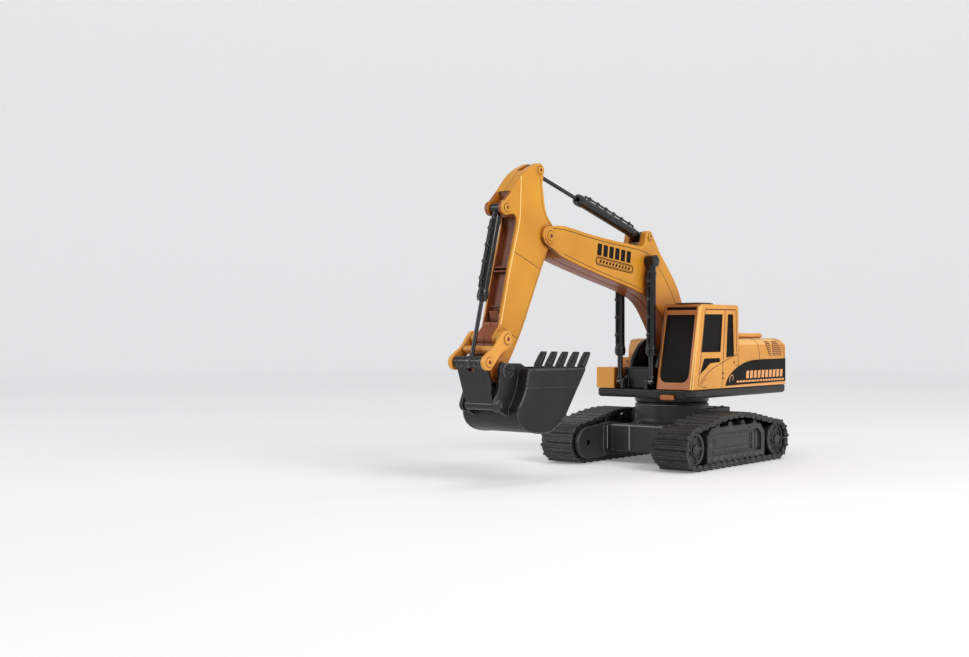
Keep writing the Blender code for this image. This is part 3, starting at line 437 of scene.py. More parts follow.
def eased(bm, width, segments=3, angle=40.0):
    """Rounds every edge sharper than the angle."""
    edges = [e for e in bm.edges if len(e.link_faces) == 2 and e.calc_face_angle(0.0) > DEG(angle)]
    round_off(bm, edges, width, segments, True)
    return bm


def pad(lo, hi, width=0.3, segments=2):
    """A box with eased edges."""
    return eased(block(lo, hi), width, segments)


def plate_of(points, x0, x1, width, segments=2, angle=40.0):
    """A side outline pushed along X, with eased edges."""
    return eased(prism(points, x0, x1), width, segments, angle)


def joined(*parts):
    """Several closed solids kept side by side in one mesh."""
    out = bmesh.new()
    for part in parts:
        mesh = bpy.data.meshes.new("loose")
        part.to_mesh(mesh)
        part.free()
        out.from_mesh(mesh)
        bpy.data.meshes.remove(mesh)
    return out


def in_scene(name, data):
    """Puts a mesh, a light or a camera in the scene under its name."""
    if isinstance(data, bmesh.types.BMesh):
        bm, data = data, bpy.data.meshes.new(name)
        bm.to_mesh(data)
        bm.free()
    ob = bpy.data.objects.new(name, data)
    bpy.context.scene.collection.objects.link(ob)
    return ob


def carved(bm, cuts=(), adds=(), keeps=()):
    """Welds solids on, takes solids away, and keeps only what lies inside others."""
    host = in_scene("loose", bm)
    helpers = []
    for op, tools in (("INTERSECT", keeps), ("UNION", adds), ("DIFFERENCE", cuts)):
        for tool in tools:
            helper = in_scene("loose", tool)
            mod = host.modifiers.new(op, "BOOLEAN")
            mod.operation, mod.solver, mod.object = op, "EXACT", helper
            helpers.append(helper)
    bpy.context.view_layer.update()
    mesh = bpy.data.meshes.new_from_object(host.evaluated_get(bpy.context.evaluated_depsgraph_get()))
    out = bmesh.new()
    out.from_mesh(mesh)
    bpy.data.meshes.remove(mesh)
    for ob in [host, *helpers]:
        data = ob.data
        bpy.data.objects.remove(ob, do_unlink=True)
        bpy.data.meshes.remove(data)
    bmesh.ops.remove_doubles(out, verts=out.verts, dist=WELD_DISTANCE)
    return out


def settle(name, bm, mat, body, stands_for=(), smooth=32.0, second=None, where=None, third=None):
    """Turns a millimetre mesh into a piece of the toy, riding on a body.

    second is the finish of the faces that where picks; third is a pair, another finish and its own test."""
    bmesh.ops.recalc_face_normals(bm, faces=bm.faces)
    for f in bm.faces:
        centre = f.calc_center_median()
        if where and where(f.normal, centre):
            f.material_index = 1
        elif third and third[1](f.normal, centre):
            f.material_index = 2
    for v in bm.verts:
        v.co = v.co * MM + HOME
    ob = in_scene(name, bm)
    mesh = ob.data
    mesh.materials.append(mat)
    if second or third:
        mesh.materials.append(second or mat)
    if third:
        mesh.materials.append(third[0])
    mesh.shade_smooth()
    mesh.set_sharp_from_angle(angle=DEG(smooth))
    weighted = ob.modifiers.new("even_shading", "WEIGHTED_NORMAL")
    weighted.keep_sharp = True
    weighted.weight = FACE_WEIGHT
    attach(ob, body)
    if stands_for:
        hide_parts(*stands_for)
    return ob


def arc(centre, r, a0, a1, n):
    """Points on an arc about (y, z), in degrees from +Y towards +Z."""
    return [(centre[0] + r * math.cos(DEG(a0 + (a1 - a0) * i / n)),
             centre[1] + r * math.sin(DEG(a0 + (a1 - a0) * i / n))) for i in range(n + 1)]


def along(a, b, t):
    d = math.hypot(b[0] - a[0], b[1] - a[1])
    return (a[0] + (b[0] - a[0]) * t / d, a[1] + (b[1] - a[1]) * t / d)


def p3(x, yz):
    return (x, yz[0], yz[1])


def smooth_line(points, n=6):
    """A rounder version of an open line of points (Catmull-Rom)."""
    pts = [Vector(p) for p in points]
    full = [2 * pts[0] - pts[1], *pts, 2 * pts[-1] - pts[-2]]
    out = []
    for a, b, c, d in zip(full, full[1:], full[2:], full[3:]):
        for i in range(n):
            t = i / n
            out.append(0.5 * ((2 * b) + (c - a) * t + (2 * a - 5 * b + 4 * c - d) * t * t
                              + (3 * b - a - 3 * c + d) * t ** 3))
    return [tuple(v) for v in out + [pts[-1]]]


def band(points, width):
    """The closed outline of a line drawn with a given width."""
    left, right = [], []
    for i, p in enumerate(points):
        a, b = Vector(points[max(i - 1, 0)]), Vector(points[min(i + 1, len(points) - 1)])
        d = (b - a).normalized()
        n = Vector((-d.y, d.x)) * width / 2
        left.append(tuple(Vector(p) + n))
        right.append(tuple(Vector(p) - n))
    return left + right[::-1]


def tube(points, r, seg=12):
    """A round bead along 3-D points, with closed ends."""
    bm = bmesh.new()
    pts = [Vector(p) for p in points]
    rings = []
    side = None
    for i, p in enumerate(pts):
        d = (pts[min(i + 1, len(pts) - 1)] - pts[max(i - 1, 0)]).normalized()
        if side is None:
            side = d.orthogonal().normalized()
        side = (side - d * side.dot(d)).normalized()
        up = d.cross(side)
        rings.append([bm.verts.new(p + r * (side * math.cos(2 * math.pi * k / seg) + up
                                            * math.sin(2 * math.pi * k / seg))) for k in range(seg)])
    for a, b in zip(rings, rings[1:]):
        for k in range(seg):
            j = (k + 1) % seg
            bm.faces.new([a[k], b[k], b[j], a[j]])
    bm.faces.new(rings[0][::-1])
    bm.faces.new(rings[-1])
    bmesh.ops.recalc_face_normals(bm, faces=bm.faces)
    return bm


def bolt(at, out, r=1.1, high=0.7):
    """A small domed screw head with a slot ring, standing out of a face."""
    at, out = Vector(at), Vector(out).normalized()
    return turned([(0, -0.4), (r, -0.4), (r, high * 0.45), (r * 0.82, high * 0.85), (r * 0.5, high),
                   (r * 0.46, high * 0.55), (0, high * 0.5)], at, at + out, 20)


def boss(x, yz, r, wide, bore, out):
    """A raised collar around a pin, on the face at x."""
    return turned([(bore, -0.5), (r, -0.5), (r, wide - 0.35), (r - 0.35, wide), (bore + 0.5, wide),
                   (bore, wide - 0.5)], p3(x, yz), p3(x + out, yz), 40)


# ---- tracks ----
def belt_point(s, inset):
    """A point of the belt's loop at share s of its length, moved inwards by inset."""
    flat, r = SPROCKET_Y - IDLER_Y, WHEEL_R
    half = math.pi * r
    d = (s % 1.0) * (2 * flat + 2 * half)
    if d < flat:
        y, z, ny, nz = IDLER_Y + d, 0.0, 0.0, -1.0
    elif d < flat + half:
        a = -math.pi / 2 + (d - flat) / r
        ny, nz = math.cos(a), math.sin(a)
        y, z = SPROCKET_Y + r * ny, r + r * nz
    elif d < 2 * flat + half:
        t = (d - flat - half) / flat
        k = math.sin(math.pi * t)
        y, z = SPROCKET_Y - t * flat, 2 * r + TOP_RISE * k ** 1.3
        slope = -TOP_RISE * 1.3 * max(k, 1e-9) ** 0.3 * math.cos(math.pi * t) * math.pi / flat
        size = math.hypot(slope, 1.0)
        ny, nz = -slope / size, 1.0 / size
    else:
        a = math.pi / 2 + (d - 2 * flat - half) / r
        ny, nz = math.cos(a), math.sin(a)
        y, z = IDLER_Y + r * ny, r + r * nz
    return (y - ny * inset, z - nz * inset)


# share of a shoe's pitch and depth below the belt's outside
PLATE = [(0.01, 1.75), (0.05, 1.20), (0.13, 0.95), (0.48, 0.95), (0.56, 0.80), (0.88, 0.80), (0.99, 1.35),
         (0.99, 2.10), (0.60, 2.60), (0.03, 2.60)]
TALL_BAR = [(0.13, 1.2), (0.165, 0.15), (0.19, 0.0), (0.34, 0.0), (0.37, 0.15), (0.42, 1.2)]
LOW_BAR = [(0.60, 1.1), (0.64, 0.35), (0.78, 0.35), (0.82, 1.1)]
SIDE_LINK = [(0.06, 1.5), (0.22, 1.2), (0.80, 1.2), (0.94, 1.5), (0.94, 3.6), (0.78, 4.6), (0.24, 4.6),
             (0.06, 3.6)]


def shoe_prism(i, outline, x0, x1):
    """One shape of shoe i, across the belt from x0 to x1."""
    return prism([belt_point((i + share) / SHOES, inset) for share, inset in outline], x0, x1)


def across(node, s):
    """The inner and outer x of a node at the toy's side, and half its height."""
    lo, hi = room(node)
    near, far = (lo.x, hi.x) if s > 0 else (hi.x, lo.x)
    return near, far, (hi.z - lo.z) / 2


def spoke(y, angle, shape):
    """Side points about a wheel's centre, from (distance out, sideways) pairs turned by an angle."""
    c, sn = math.cos(DEG(angle)), math.sin(DEG(angle))
    return [(y + d * c - w * sn, WHEEL_Z + d * sn + w * c) for d, w in shape]


for side, s in SIDES:
    inner, outer = s * BELT_LO.x, s * BELT_HI.x
    parts = []
    for i in range(SHOES):
        parts.append(shoe_prism(i, PLATE, inner + s * 0.5, outer - s * 0.5))
        parts.append(shoe_prism(i, TALL_BAR, inner, outer))
        parts.append(shoe_prism(i, LOW_BAR, inner + s * 1.4, outer - s * 1.4))
        for x in (inner + s * 0.3, outer - s * 2.6):
            parts.append(shoe_prism(i, SIDE_LINK, x, x + s * 1.3))
        hub = belt_point((i + 0.5) / SHOES, 2.9)
        parts.append(turned([(0, -0.3), (1.15, -0.3), (1.15, 0.25), (0.8, 0.5), (0.45, 0.5), (0.35, 0.2),
                             (0, 0.2)], p3(outer - s * 1.35, hub), p3(outer, hub), 12))
    settle(f"track_chain_{side}", joined(*parts), SHOE_BLACK, "undercarriage", (f"track_belt_{side}",),
           smooth=28.0)

    # side frame: guard plate with rounded ends, deep beam, brackets under the top run, rollers and pads
    near, far, _ = across(f"track_frame_{side}", s)
    guard = arc((IDLER_Y, WHEEL_Z), 12.4, 100, 270, 18) + [(-40.0, 4.6), (30.0, 4.6)]
    guard += arc((SPROCKET_Y, WHEEL_Z), 12.4, -90, 80, 18) + [(36.0, 31.0), (-50.0, 31.0)]
    plate = plate_of(guard, near, near + s * 4.4, 0.7)
    for y in (IDLER_Y, SPROCKET_Y):
        ring = turned([(3.1, -0.6), (7.6, -0.6), (7.6, 0.0), (7.0, 0.5), (5.4, 0.5), (5.0, 0.1), (3.1, 0.1)],
                      (near, y, WHEEL_Z), (near - s, y, WHEEL_Z), 36)
        plate = carved(plate, cuts=[rod((near - s * 2, y, WHEEL_Z), (near + s * 6, y, WHEEL_Z), 2.9)])
        plate = joined(plate, ring)
    beam = [(-50.0, 4.2), (37.0, 4.2), (37.0, 24.0), (30.0, 31.5), (-44.0, 31.5), (-50.0, 25.0)]
    panel = [(-44.5, 9.4), (31.5, 9.4), (31.5, 23.0), (26.0, 27.4), (-39.5, 27.4), (-44.5, 22.4)]
    body = carved(plate_of(beam, near + s * 4.2, far, 0.8), cuts=[prism(panel, far - s * 2.2, far + s)])
    details = [plate, body]
    for z in (12.6, 23.2):
        details.append(pad((far - s * 2.6, -41.0, z), (far - s * 1.1, 14.0, z + 1.3)))
    details.append(pad((far - s * 2.6, -36.0, 15.4), (far - s * 1.4, 8.0, 21.8), 0.4))
    for y in (18.0, 23.4):
        details.append(pad((far - s * 2.6, y, 11.6), (far - s * 0.9, y + 3.2, 24.6), 0.4))
    for y in (-46.8, -16.0, 12.0, 34.6):
        details.append(bolt((far, y, 29.0 if -44 < y < 30 else 18.0), (s, 0, 0)))
    for k in range(10):
        y = IDLER_Y + 21.5 + k * 8.9
        details.append(turned([(0, 0), (2.3, 0), (2.3, 5.6), (1.9, 6.0), (1.3, 6.0), (1.0, 5.5), (0, 5.5)],
                              (far - s * 5.4, y, 5.9), (far + s, y, 5.9), 20))
    for k in range(4):
        y = -37.0 + 19.0 * k
        post = [(y - 0.8, 29.0), (y + 5.8, 29.0), (y + 4.9, 34.0), (y + 3.8, 35.0), (y + 1.2, 35.0),
                (y + 0.1, 34.0)]
        details.append(plate_of(post, near + s * 6.0, far - s * 0.6, 0.4))
        details.append(turned([(0, 0), (1.5, 0), (1.5, 0.8), (1.0, 1.1), (0, 1.1)],
                              (far - s * 0.7, y + 2.5, 32.2), (far + s, y + 2.5, 32.2), 16))
    for y in (-47.6, 46.2):
        details.append(pad((near - s * 0.7, y - 0.8, 6.0), (near + s * 0.5, y + 0.8, 29.6)))
    settle(f"track_side_{side}", joined(*details), UNDER_JET, "undercarriage", (f"track_frame_{side}",))

    # wheels: dished idler with a round window ring, sprocket with teeth, web ribs and link holes
    for label, y, body_name in (("idler_wheel", IDLER_Y, f"idler_{side}"), ("drive_sprocket", SPROCKET_Y,
                                                                            f"sprocket_{side}")):
        x0, x1, r = across(f"{label}_{side}", s)
        wide = abs(x1 - x0)
        prof = [(2.7, 0), (r - 0.6, 0), (r, 0.6), (r, wide - 1.0), (r - 0.4, wide - 0.3), (r - 1.1, wide),
                (r - 2.6, wide), (r - 3.0, wide - 0.5), (r - 3.4, wide - 2.2), (6.4, wide - 2.2),
                (5.6, wide - 1.9), (5.2, wide - 0.5), (4.8, wide - 0.2), (2.7, wide - 0.2)]
        wheel = turned(prof, (x0, y, WHEEL_Z), (x0 + s, y, WHEEL_Z), 56)
        extra = []
        if label == "drive_sprocket":
            holes = arc((y, WHEEL_Z), 8.0, 30, 330, 5)
            wheel = carved(wheel, cuts=[rod(p3(x1 - s * 4.5, h), p3(x1 + s, h), 1.25, 20) for h in holes])
            tooth = [(r - 1.6, -1.5), (r - 0.2, -1.1), (r + 0.15, 0.0), (r - 0.2, 1.1), (r - 1.6, 1.5)]
            for angle in range(0, 360, 30):
                extra.append(prism(spoke(y, angle, tooth), x1 - s * 3.0, x1 - s * 0.1))
        rib = [(5.0, -0.55), (r - 2.8, -0.8), (r - 2.8, 0.8), (5.0, 0.55)]
        for angle in range(0, 360, 60):
            extra.append(plate_of(spoke(y, angle, rib), x1 - s * 3.0, x1 - s * 1.3, 0.25))
        settle(f"{label}_disc_{side}", joined(wheel, *extra), UNDER_JET, body_name, (f"{label}_{side}",))


def dress(node, mat):
    """A carried-over CAD node gets its finish."""
    data = frame["nodes"][node].data
    data.materials.clear()
    data.materials.append(mat)
    for poly in data.polygons:
        poly.material_index = 0


def rounded(points, radius, n=5):
    """An outline with its corners rounded. radius is one number, or one for each corner."""
    out = []
    count = len(points)
    for i, p in enumerate(points):
        r = radius[i] if isinstance(radius, (list, tuple)) else radius
        p, a, b = Vector(p), Vector(points[i - 1]), Vector(points[(i + 1) % count])
        if r <= 0:
            out.append(tuple(p))
            continue
        to_a, to_b = a - p, b - p
        reach = min(r, to_a.length * 0.48, to_b.length * 0.48)
        p0, p1 = p + to_a.normalized() * reach, p + to_b.normalized() * reach
        for k in range(n + 1):
            t = k / n
            out.append(tuple((1 - t) ** 2 * p0 + 2 * t * (1 - t) * p + t * t * p1))
    return out


def lines(paths, x0, x1, width=0.5):
    """Solids of thin lines lying on a side face, for cutting and for filling."""
    return [prism(band(path, width), x0, x1) for path in paths]


# ---- undercarriage middle ----
for node in ("bottom_cover", "power_switch"):
    dress(node, JET)
for side, s in SIDES:
    dress(f"idler_wheel_axle_{side}", CHROME)
    dress(f"drive_sprocket_axle_{side}", CHROME)
    dress(f"track_motor_{side}", STEEL)
dress("slew_retainer", STEEL)

CH_LO, CH_HI = room("chassis")
base = pad((CH_LO.x, CH_LO.y, 9.0), (CH_HI.x, CH_HI.y, 30.0), 0.9, 3)
base = carved(base, cuts=[block((-31.0, -41.0, 5.0), (31.0, 41.0, 27.0))])
flare = turned([(8.3, 28.0), (33.4, 28.0), (33.4, 30.6), (32.2, 32.0), (31.0, 33.5), (30.6, 36.0),
                (30.4, 45.6), (30.1, 46.6), (29.2, 47.0), (29.0, 47.8), (8.3, 47.8)], (0, 0, 0),
               (0, 0, 1), TURNED_SIDES)
upper_block = pad((-32.0, -12.0, 29.0), (32.0, 40.0, 42.8), 1.1, 3)
trim = [flare, upper_block, base]
for y0, y1 in ((-38.0, -35.6), (34.0, 36.4)):
    trim.append(pad((-31.0, y0, 29.6), (31.0, y1, 31.0), 0.4))
for x in (-28.5, -11.5, 11.5, 28.5):
    trim.append(pad((x - 0.7, CH_LO.y - 0.05, 10.0), (x + 0.7, CH_LO.y + 0.6, 29.2)))
    trim.append(pad((x - 0.7, CH_LO.y + 0.3, 29.4), (x + 0.7, -33.0, 30.8)))
for x in (-27.0, 27.0):
    for y in (24.0, 35.0):
        trim.append(bolt((x, y, 42.8), (0, 0, 1), 1.6, 0.9))
for x, y in arc((0.0, 0.0), 1.0, 18, 342, 9):
    trim.append(bolt((31.8 * x, 31.8 * y, 31.4), (x, y, 0.8), 0.9, 0.5))
settle("chassis_body", joined(*trim), UNDER_JET, "undercarriage", ("chassis",))
front = CH_LO.y - 0.15
# painted highlights: pale strips along the chassis front edges and a ring on the flare, where the black
# catches the light
glint_strips = [rod((x, front, 10.5), (x, front, 29.6), 0.42, 12, 0.2) for x in (-CH_HI.x + 0.5, -11.5)]
glint_strips.append(rod((-29.0, front + 0.25, 29.9), (20.0, front + 0.25, 29.9), 0.38, 12, 0.2))
glint_strips.append(tube([(x, y, 46.2) for x, y in arc((0.0, 0.0), 30.75, -118, -48, 14)], 0.3, 8))
settle("chassis_painted_glints", joined(*glint_strips), PAINTED_GLINT, "undercarriage")

# ---- deck ----
x, f, r = DECK_HI.x, DECK_LO.y, DECK_HI.y
REAR_CUT = 3.0
outline = [(-x + 2.5, f), (x - 5, f), (x, f + 5), (x, r - REAR_CUT), (x - REAR_CUT, r),
           (-x + REAR_CUT, r), (-x, r - REAR_CUT), (-x, f + 2.5)]
deck = eased(slab(rounded(outline, 2.6, 4), 53.4, DECK_HI.z), 1.1, 3, 50.0)
neck = turned([(0, 48.1), (29.6, 48.1), (30.4, 48.9), (30.4, 51.4), (31.6, 52.2), (32.4, 53.6), (0, 53.6)],
              (0, 0, 0), (0, 0, 1), TURNED_SIDES)
hub = turned([(0, 24.6), (7.6, 24.6), (8.0, 25.0), (8.0, 49.0), (0, 49.0)], (0, 0, 0), (0, 0, 1), 40)
skirt = [(px * 0.985, f + (py - f) * 0.985 + 0.9) for px, py in outline]
lip = eased(slab(rounded(skirt, 2.6, 4), 52.6, 54.0), 0.4, 2, 50.0)
under = [deck, neck, hub, lip]
for bx, by in ((-40, -34), (40, -34), (-40, 100), (40, 100), (-40, 30), (40, 30)):
    under.append(bolt((bx, by, 52.7), (0, 0, -1), 1.5, 0.4))
settle("deck_plate", joined(*under), JET, "upper", ("deck",))

lo, hi = room("front_step")
step = pad(tuple(lo), tuple(hi), 0.8, 3)
tread = [pad((lo.x + 1.5 + 2.4 * k, lo.y + 0.5, hi.z - 0.2), (lo.x + 2.5 + 2.4 * k, hi.y - 0.4,
                                                              hi.z + 0.25), 0.15, 1) for k in range(4)]
# the whole step in the darker amber copy: painted shade
settle("front_step_plate", joined(step, *tread), PAINTED_SHADE_AMBER, "upper", ("front_step",))

# ---- cab ----
CZ = CAB_LO.z
CX0, CX1 = CAB_LO.x, CAB_HI.x
CROWN = CAB_HI.z
CREAR = CAB_HI.y


def cab_side(i, base=0.0):
    """Side outline of the cab, drawn in by i."""
    foot = [(-41.5 + i, CZ - base)] if base else []
    return foot + [(-41.5 + i, CZ), (-28.6 + i * 1.05, CROWN - 2.2 - i * 0.9), (-26.0 + i, CROWN - i),
                   (CREAR - 2.5 - i, CROWN - i), (CREAR - i, CROWN - 2.6 - i), (CREAR - i, CZ - base)]


cab = prism(cab_side(0.0), CX0, CX1)
posts = [e for e in cab.edges if all(v.co.y < -28.0 for v in e.verts)
         and abs(e.verts[0].co.z - e.verts[1].co.z) > 30]
round_off(cab, posts, 3.0, 6)
cab = eased(cab, 1.4, 4, 32.0)
FRONT_WINDOW = rounded([(14.8, 118.6), (42.0, 118.6), (42.3, 65.2), (14.4, 65.2)], [1.4, 1.4, 7.5, 7.5], 8)
DOOR_WINDOW = rounded([(-22.3, 119.1), (4.7, 119.3), (1.4, 88.9), (-28.4, 89.0)], 0.9, 3)
QUARTER_WINDOW = rounded([(12.4, 119.5), (20.7, 119.5), (22.3, 85.4), (9.8, 84.2)], 0.9, 3)
LOW_WINDOW = rounded([(-23.4, 84.2), (0.6, 84.1), (0.6, 80.8), (-14.0, 80.2), (-19.5, 76.7),
                      (-29.6, 71.4)], 0.7, 3)
SIDE_WINDOWS = (DOOR_WINDOW, QUARTER_WINDOW, LOW_WINDOW)
GASKET = 0.75
INNER_WINDOW = rounded([(-22.3, 119.1), (20.7, 119.3), (20.7, 89.0), (-28.4, 89.0)], 1.2, 3)
DOOR_LINES = [[(8.6, 122.6), (6.4, 98.0), (4.4, 74.0), (3.2, CZ + 0.8)], [(-31.9, CZ + 3.0),
                                                                          (-27.2, 89.0), (-21.9, 122.0),
                                                                          (-20.9, 122.9), (24.6, 123.1),
                                                                          (25.4, 122.3), (26.2, 88.6)],
              smooth_line([(-31.4, 61.4), (-26.0, 67.6), (-13.0, 75.0), (4.0, 80.4), (16.0, 83.9),
                           (28.6, 87.0)]), smooth_line([(-20.0, 68.6), (-26.0, 65.6), (-28.2, 63.0),
                                                        (-26.0, 61.6), (-20.0, 61.3)])]
cuts = [prism(cab_side(1.8, 2.0), CX0 + 1.8, CX1 - 1.8), front_plate(FRONT_WINDOW, -50.0, -20.0)]
cuts += [prism(shape, CX1 - 5.0, CX1 + 2.0) for shape in SIDE_WINDOWS]
cuts += [prism(INNER_WINDOW, CX0 - 2.0, CX0 + 5.0),
         front_plate(rounded([(CX0 + 6, 119.3), (CX1 - 6, 119.3), (CX1 - 6, 103.5), (CX0 + 6, 103.5)],
                             1.5, 3), CREAR - 5.0, CREAR + 3.0), block((CX0 + 2.6, -34.0, 122.4),
                                                                       (CX1 - 3.4, -27.2, 125.2))]
cuts += lines(DOOR_LINES[:2], CX1 - 0.5, CX1 + 1.0, 1.0) + lines(DOOR_LINES[2:], CX1 - 0.5, CX1 + 1.0, 0.66)
cab = carved(cab, cuts=cuts)
# faces turned to the front take the darker amber, painted shade; the front corner post and the near side's
# top chamfer take the pale mustard, painted highlight
settle("cab_frame", cab, MUSTARD, "upper", ("cab_shell",), second=PAINTED_SHADE_AMBER, where=lambda n,
       c: n.y < -0.6 and c.x < CX1 - 2.5, third=(PAINTED_HIGHLIGHT_MUSTARD, lambda n,
                                                 c: (c.x > CX1 - 3.2 and n.y < -0.3 and n.x > 0.3)
                                                 or (c.z > CROWN - 2.4 and 0.3 < n.z < 0.9
                                                     and n.x > 0.2)))
line_ink = lines(DOOR_LINES[:2], CX1 - 0.6, CX1 - 0.1, 1.05) + lines(DOOR_LINES[2:], CX1 - 0.6,
                                                                     CX1 - 0.12, 0.72)
settle("cab_line_ink", joined(*line_ink), RUST_LINE, "upper")
panes = carved(prism(cab_side(0.75), CX0 + 0.75, CX1 - 0.75),
               cuts=[prism(cab_side(1.9, 2.0), CX0 + 1.9, CX1 - 1.9)])
settle("cab_panes", panes, WINDOW, "upper", ("cab_windows",))
gasket = []
for shape in SIDE_WINDOWS:
    middle_of = Vector((sum(q[0] for q in shape), sum(q[1] for q in shape))) / len(shape)
    opening = [tuple(Vector(p) + (middle_of - Vector(p)).normalized() * GASKET) for p in shape]
    gasket.append(carved(prism(shape, CX1 - 0.9, CX1 - 0.35), cuts=[prism(opening, CX1 - 2, CX1 + 1)]))
gasket += [bolt((CX1, 5.6, z), (1, 0, 0), 0.75, 0.45) for z in (71.8, 67.6)]
settle("window_gaskets", joined(*gasket), SLOT_BLACK, "upper")
settle("cab_hinge_dots", joined(bolt((CX1, 22.4, 80.2), (1, 0, 0), 0.8, 0.5), bolt((CX1, 25.6, 77.4),
                                                                                   (1, 0, 0), 0.6, 0.4)),
       RUST_LINE, "upper")
lo, hi = room("roof_hatch")
hatch = [pad(tuple(lo), (hi.x, hi.y, hi.z - 0.3), 0.4)]
for k in range(7):
    y = lo.y + 1.6 + 2.6 * k
    hatch.append(pad((lo.x + 1.6, y, hi.z - 0.6), (hi.x - 1.6, y + 1.2, hi.z), 0.2))
settle("roof_grid", joined(*hatch), JET, "upper", ("roof_hatch",))

# ---- body: stepped box on the left, hood across the rear ----
HX = BODY_HI.x
SHOULDER = 6.0


def side_x(z):
    """Half width of the hood at a height: straight below, rounded in at the shoulder."""
    up = max(0.0, z - (HOOD_TOP - SHOULDER))
    return HX - SHOULDER + math.sqrt(max(0.0, SHOULDER ** 2 - min(up, SHOULDER) ** 2))


STAIR_IN = -28.9
stair = [(-41.5, CZ), (-41.5, 76.3), (-12.0, 76.3), (-12.0, 84.0), (3.0, 84.0), (3.0, 90.0),
         (6.0, HOOD_TOP - 1.5), (10.0, HOOD_TOP), (36.01, HOOD_TOP), (36.01, CZ)]
rear = [(36.0, CZ), (36.0, HOOD_TOP), (96.0, HOOD_TOP)] + arc((96.0, HOOD_TOP - 14.2), 14.2, 84, 2, 9)
rear = [(y, z) if y < 110.7 else (110.7, z) for y, z in rear] + [(110.7, CZ)]
turn = arc((HX - SHOULDER, HOOD_TOP - SHOULDER), SHOULDER, 90, 0, 10)
front_shape = turn + [(HX, CZ), (-HX, CZ)] + [(-x, z) for x, z in reversed(turn)]
corner = arc((HX - 3.4, 107.3), 3.4, 0, 90, 9)
plan = [(HX, 30.0)] + corner + [(-x, y) for x, y in reversed(corner)] + [(-HX, 30.0)]
hood = carved(prism(rear, -HX - 2, HX + 2), keeps=[front_plate(front_shape, 20.0, 120.0),
                                                   slab(plan, CZ - 2.0, HOOD_TOP + 3.0)])
near_part = front_plate(turn + [(HX, CZ), (CX0, CZ), (CX0, HOOD_TOP)], CREAR - 1.3, 36.01)
left_box = prism(stair, -HX, STAIR_IN)
shoulder = [e for e in left_box.edges if all(v.co.z > HOOD_TOP - 0.1 and v.co.x < -HX + 0.1 for v in e.verts)]
round_off(left_box, shoulder, SHOULDER, 8)
sharp = [e for e in left_box.edges if len(e.link_faces) == 2 and e.calc_face_angle(0.0) > DEG(40)
         and min(v.co.y for v in e.verts) < 35.0]
round_off(left_box, sharp, 1.3, 4, True)
HOOD_LINES = [smooth_line([(55.0, HOOD_TOP), (58.8, 96.9), (61.6, 92.2), (63.2, 86.6), (63.6, 82.2)]),
              smooth_line([(93.0, HOOD_TOP - 0.1), (99.2, 96.4), (104.0, 91.0), (106.2, 85.6),
                           (106.6, 82.2)])]
VENT_A = [(97.2, 72.4, 80.6), (94.0, 74.4, 81.4), (90.6, 76.4, 82.4), (87.4, 78.6, 83.4), (84.8, 80.2, 84.2)]
VENT_B = [(97.2, 84.4, 93.4), (94.0, 85.0, 97.2), (90.6, 85.6, 99.8), (87.4, 86.2, 101.2),
          (84.8, 86.8, 102.0)]


def side_patch(rows, s, lift, thick=0.35):
    """A thin skin on the hood's side. rows are (height, first y, last y); it follows the shoulder."""
    bm = bmesh.new()
    grid = []
    for z, ya, yb in rows:
        x = side_x(z)
        out = (s * (x + lift), s * (x + lift - thick))
        grid.append([bm.verts.new((out[0], ya, z)), bm.verts.new((out[0], yb, z)),
                     bm.verts.new((out[1], yb, z)), bm.verts.new((out[1], ya, z))])
    for a, b in zip(grid, grid[1:]):
        for k in range(4):
            bm.faces.new([a[k], a[(k + 1) % 4], b[(k + 1) % 4], b[k]])
    bm.faces.new(grid[0])
    bm.faces.new(grid[-1])
    bmesh.ops.recalc_face_normals(bm, faces=bm.faces)
    return bm


def row_at(rows, z):
    """The (height, first y, last y) row between the given rows at a height."""
    for a, b in zip(rows, rows[1:]):
        if b[0] <= z <= a[0]:
            t = (z - b[0]) / (a[0] - b[0])
            return (z, b[1] + (a[1] - b[1]) * t, b[2] + (a[2] - b[2]) * t)
    return rows[-1]


hood = carved(hood, cuts=[block((-HX + 6.5, 54.7, HOOD_TOP - 0.5), (HX - 6.5, 55.3, HOOD_TOP + 1)),
                          block((-HX + 6.5, 92.7, HOOD_TOP - 0.5), (HX - 6.5, 93.3, HOOD_TOP + 1)),
                          block((-30.0, 112.0, 70.0), (30.0, 110.2, 84.0))])
# the shoulder faces take the pale mustard: painted highlight
settle("hood_and_side_box", joined(hood, near_part, left_box), MUSTARD, "upper", ("body_shell",),
       third=(PAINTED_HIGHLIGHT_MUSTARD, lambda n, c: c.z > HOOD_TOP - SHOULDER - 0.2
                                and abs(n.x) > 0.15 and n.z > 0.12))
dark, slats, ink = [], [], []
for s in (1, -1):
    for vent in (VENT_A, VENT_B):
        fine = [row_at(vent, 97.2 - 12.4 * k / 14) for k in range(15)]
        dark.append(side_patch(fine, s, 0.10))
        for k in range(7):
            z = 85.4 + 1.72 * k
            a, b = row_at(vent, z), row_at(vent, z + 0.85)
            slats.append(side_patch([(z, a[1] + 0.5, a[2] - 0.5), (z + 0.85, b[1] + 0.5, b[2] - 0.5)], s,
                                    0.32, 0.5))
    for path in HOOD_LINES:
        ink.append(tube([(s * (side_x(z) - 0.12), y, z) for y, z in path if z < HOOD_TOP + 0.2], 0.32, 10))
for y in (55.0, 93.0):
    ink.append(block((-HX + 6.5, y - 0.32, HOOD_TOP - 0.6), (HX - 6.5, y + 0.32, HOOD_TOP - 0.2)))
settle("vent_shadow", joined(*dark), RUST_LINE, "upper")
settle("vent_slats", joined(*slats), MUSTARD, "upper")
settle("hood_line_ink", joined(*ink), RUST_LINE, "upper")
lo, hi = room("hood_lid")
lid = pad(tuple(lo), tuple(hi), 1.9, 5)
